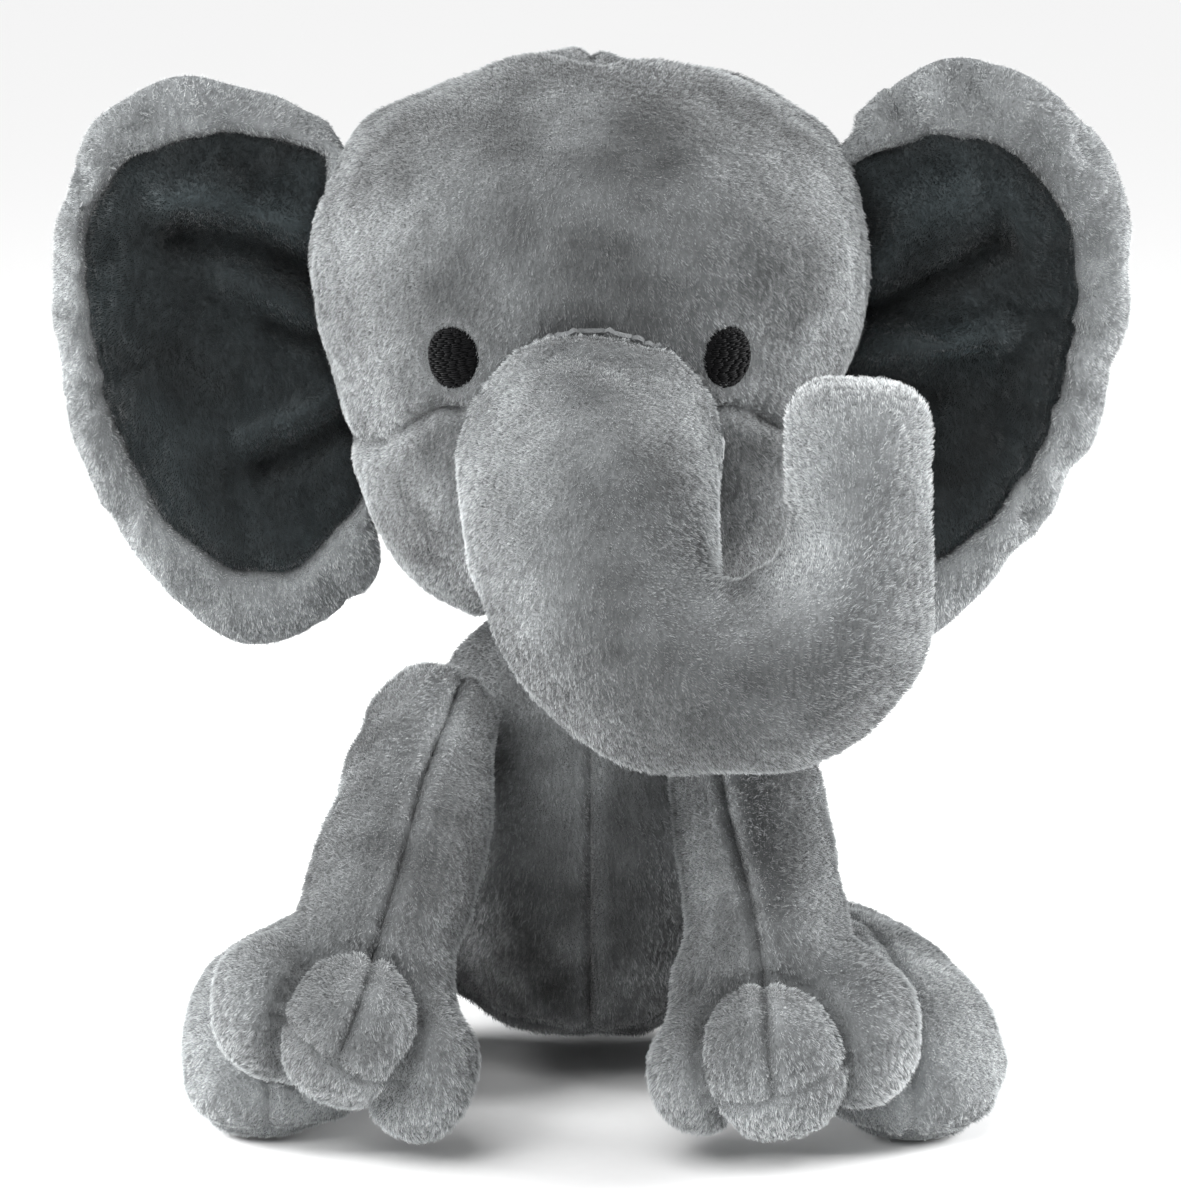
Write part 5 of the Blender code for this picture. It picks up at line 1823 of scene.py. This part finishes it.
    def pinned(self, points):
        """The root is held, and the rim's seam nearly so."""
        out, z = np.abs(points[:, 0]), points[:, 2]
        angle = np.arctan2(z - EAR_C[1], out - EAR_C[0])
        apart = np.abs(np.hypot(out - EAR_C[0], z - EAR_C[1]) - self.inner_at(angle))
        root = smooth_step((ROOT_OUT(z) + 5 - out) / 6)
        return np.maximum(root, 0.75 * bell(apart / 2.2))

    def quilt(self, points):
        """Draws the sheet in at its seams, puckers the rim, and gives what shell() needs."""
        rho = self.flat(self.rho, 0)
        inner, outer = self.flat(self.inner, 50), self.flat(self.outer, 60)
        is_front = self.flat(self.front, [True, False])
        angle = self.flat(self.angle, 0)
        to_seam = np.where(is_front, np.abs(rho - inner), 30)
        to_edge = outer - rho
        lift = np.where(is_front, -0.8 * bell(to_seam / 1.2), 0)
        lift -= 0.35 * bell(to_edge / 0.8)
        part = np.clip((rho - inner) / np.maximum(outer - inner, 1e-6), 0, 1)
        on_rim = is_front & (rho > inner)
        swell = np.sin(math.pi * np.clip(0.2 + 0.75 * part, 0, 1)) ** 1.5
        rng = np.random.default_rng(self.pucker_seed)
        for _ in range(30):
            at, wide = rng.uniform(-2.3, 2.3), rng.uniform(1.6, 3.4)
            deep, lean = rng.uniform(0.3, 0.95), rng.uniform(-0.06, 0.06)
            arc = np.abs(angle - at - lean * (part - 0.5)) * rho
            lift -= on_rim * deep * bell(arc / wide) * swell
        points = points + normals_of(points, self.faces) * lift[:, None]
        x, _, z = points.T
        radial = columns((x * self.sign - EAR_C[0]) * self.sign, 0 * x, z - EAR_C[1])
        radial /= np.maximum(lengths(radial), 1e-6)
        near = np.minimum(to_seam, np.maximum(to_edge, 0) + 0.4)
        # painted highlight: the rim and the back are made lighter, and the folds keep their painted
        # highlight and shade
        tone = mottle(points) + 0.72 * on_rim + 0.15 * ~is_front + self.brushed
        share = np.clip((np.abs(x) - (BEND_OUT(z) + 2)) / 13, 0, 1)
        return points, normals_of(points, self.faces), {
            "pile_len": 1 - 0.45 * bell(near / 1.0),
            "tone": np.maximum(tone, 0.25),
            "comb": radial * 0.8 + np.array((0.0, 0.0, -0.7)),
            "bend": even_out(share, self.faces, 4),
        }


def build_ear(side):
    ear = Ear(side)
    shift = middle_of(f"ear_{side}_back_panel", f"ear_{side}_rim_panel") - EAR_MIDDLE[side]
    points = cloth_pass(f"ear_{side}", ear.points, ear.faces, 2.6, ear.pinned,
                        pressure=2.2, shrink=-0.035, most=2.6)
    points, normals, attributes = ear.quilt(points)
    start = np.array((ear.sign * 59.0, 7.5, 165.0)) + shift
    end = start + np.array((ear.sign * 13.0, 0, 0))
    table = (("inner", CHARCOAL, []), ("rim", GREY, []), ("back", GREY, [f"ear_{side}_batting"]))
    for number, (name, finish, more) in enumerate(table):
        piece = shell(f"ear_{side}_{name}_plush", points + shift, normals,
                      ear.faces[ear.panels == number], attributes, thick=THIN_SKIN)
        place(piece, [f"ear_{side}_{name}_panel"] + more, finish=finish, length=0.82,
              blend=("head", f"ear_{side}", start, end))


build_head()
build_eye("left", seed=5, slope=6)
build_eye("right", seed=6, slope=9)
build_trunk()
for side in SIDES:
    build_arm(side)
    build_leg(side)
    build_ear(side)
build_torso()
build_neck()
build_tail()


# ---------------------------------------------------------------- studio, in metres
def build_floor():
    half = 60000     # millimetres
    corners = np.array([(-half, -half, 0), (half, -half, 0), (half, half, 0), (-half, half, 0)])
    floor = mesh_object("studio_floor", corners.astype(float), [[0, 1, 2, 3]])
    paper, graph = new_material("studio_paper")
    grain = graph.noise(graph.place(), Scale=300)
    colour = graph.ramp(grain, dark=(0.90,) * 3, light=(0.93,) * 3)
    graph.output(graph.principled(Base_Color=colour, Roughness=0.9))
    floor.data.materials.append(paper)


def build_world():
    """A white surround, brighter to the camera than as a light."""
    world = bpy.data.worlds.new("studio")
    scene.world = world
    world.use_nodes = True
    graph = Graph(world.node_tree)
    background = world.node_tree.nodes["Background"]
    background.inputs["Color"].default_value = (1.0, 1.0, 1.0, 1)
    seen = graph.add("ShaderNodeLightPath").outputs["Is Camera Ray"]
    level = graph.remap(seen, to=(0.45, 0.96))
    world.node_tree.links.new(level.outputs[0], background.inputs["Strength"])


def aim_along(thing, way):
    thing.rotation_mode = "QUATERNION"
    thing.rotation_quaternion = way.to_track_quat("-Z", "Y")


def add_light(name, kind, at, way, **settings):
    light = bpy.data.lights.new(name, kind)
    configure(light, **settings)
    made = link_object(name, light)
    made.location = at
    aim_along(made, way)


def build_lights():
    add_light("ceiling", "SUN", (0, 0, 0), Vector((0.3, 0.42, -0.85)),
              energy=2.1, angle=math.radians(55))
    low, high = (np.array(corner) for corner in cad_box)
    centre = (low + high) / 2
    aim = Vector((0, float(centre[1]), float(centre[2])))
    softbox = partial(add_light, kind="AREA", shape="DISK", size=0.5)
    # name, place from the middle of the toy, power
    for name, offset, power in (
        ("left_rim", (-0.95, 0.12, 0.30), 18.0),
        ("right_rim", (0.95, 0.12, 0.30), 17.0),
        ("front_left", (-0.65, -1.0, 0.75), 4.0),
    ):
        at = aim + Vector(offset)
        softbox(name, at=at, way=aim - at, energy=power)


def build_camera():
    lens = bpy.data.cameras.new("camera")
    configure(lens, sensor_width=36, lens=145.2, clip_start=0.05, clip_end=100)
    camera = link_object("camera", lens)
    target = Vector((0, -0.010, 0.1084))
    tilt, distance = math.radians(10), 1.1
    camera.location = target + Vector((0, -math.cos(tilt), math.sin(tilt))) * distance
    aim_along(camera, target - camera.location)
    scene.camera = camera


scene = bpy.context.scene
scene.view_settings.view_transform = "Standard"
build_floor()
build_world()
build_lights()
build_camera()
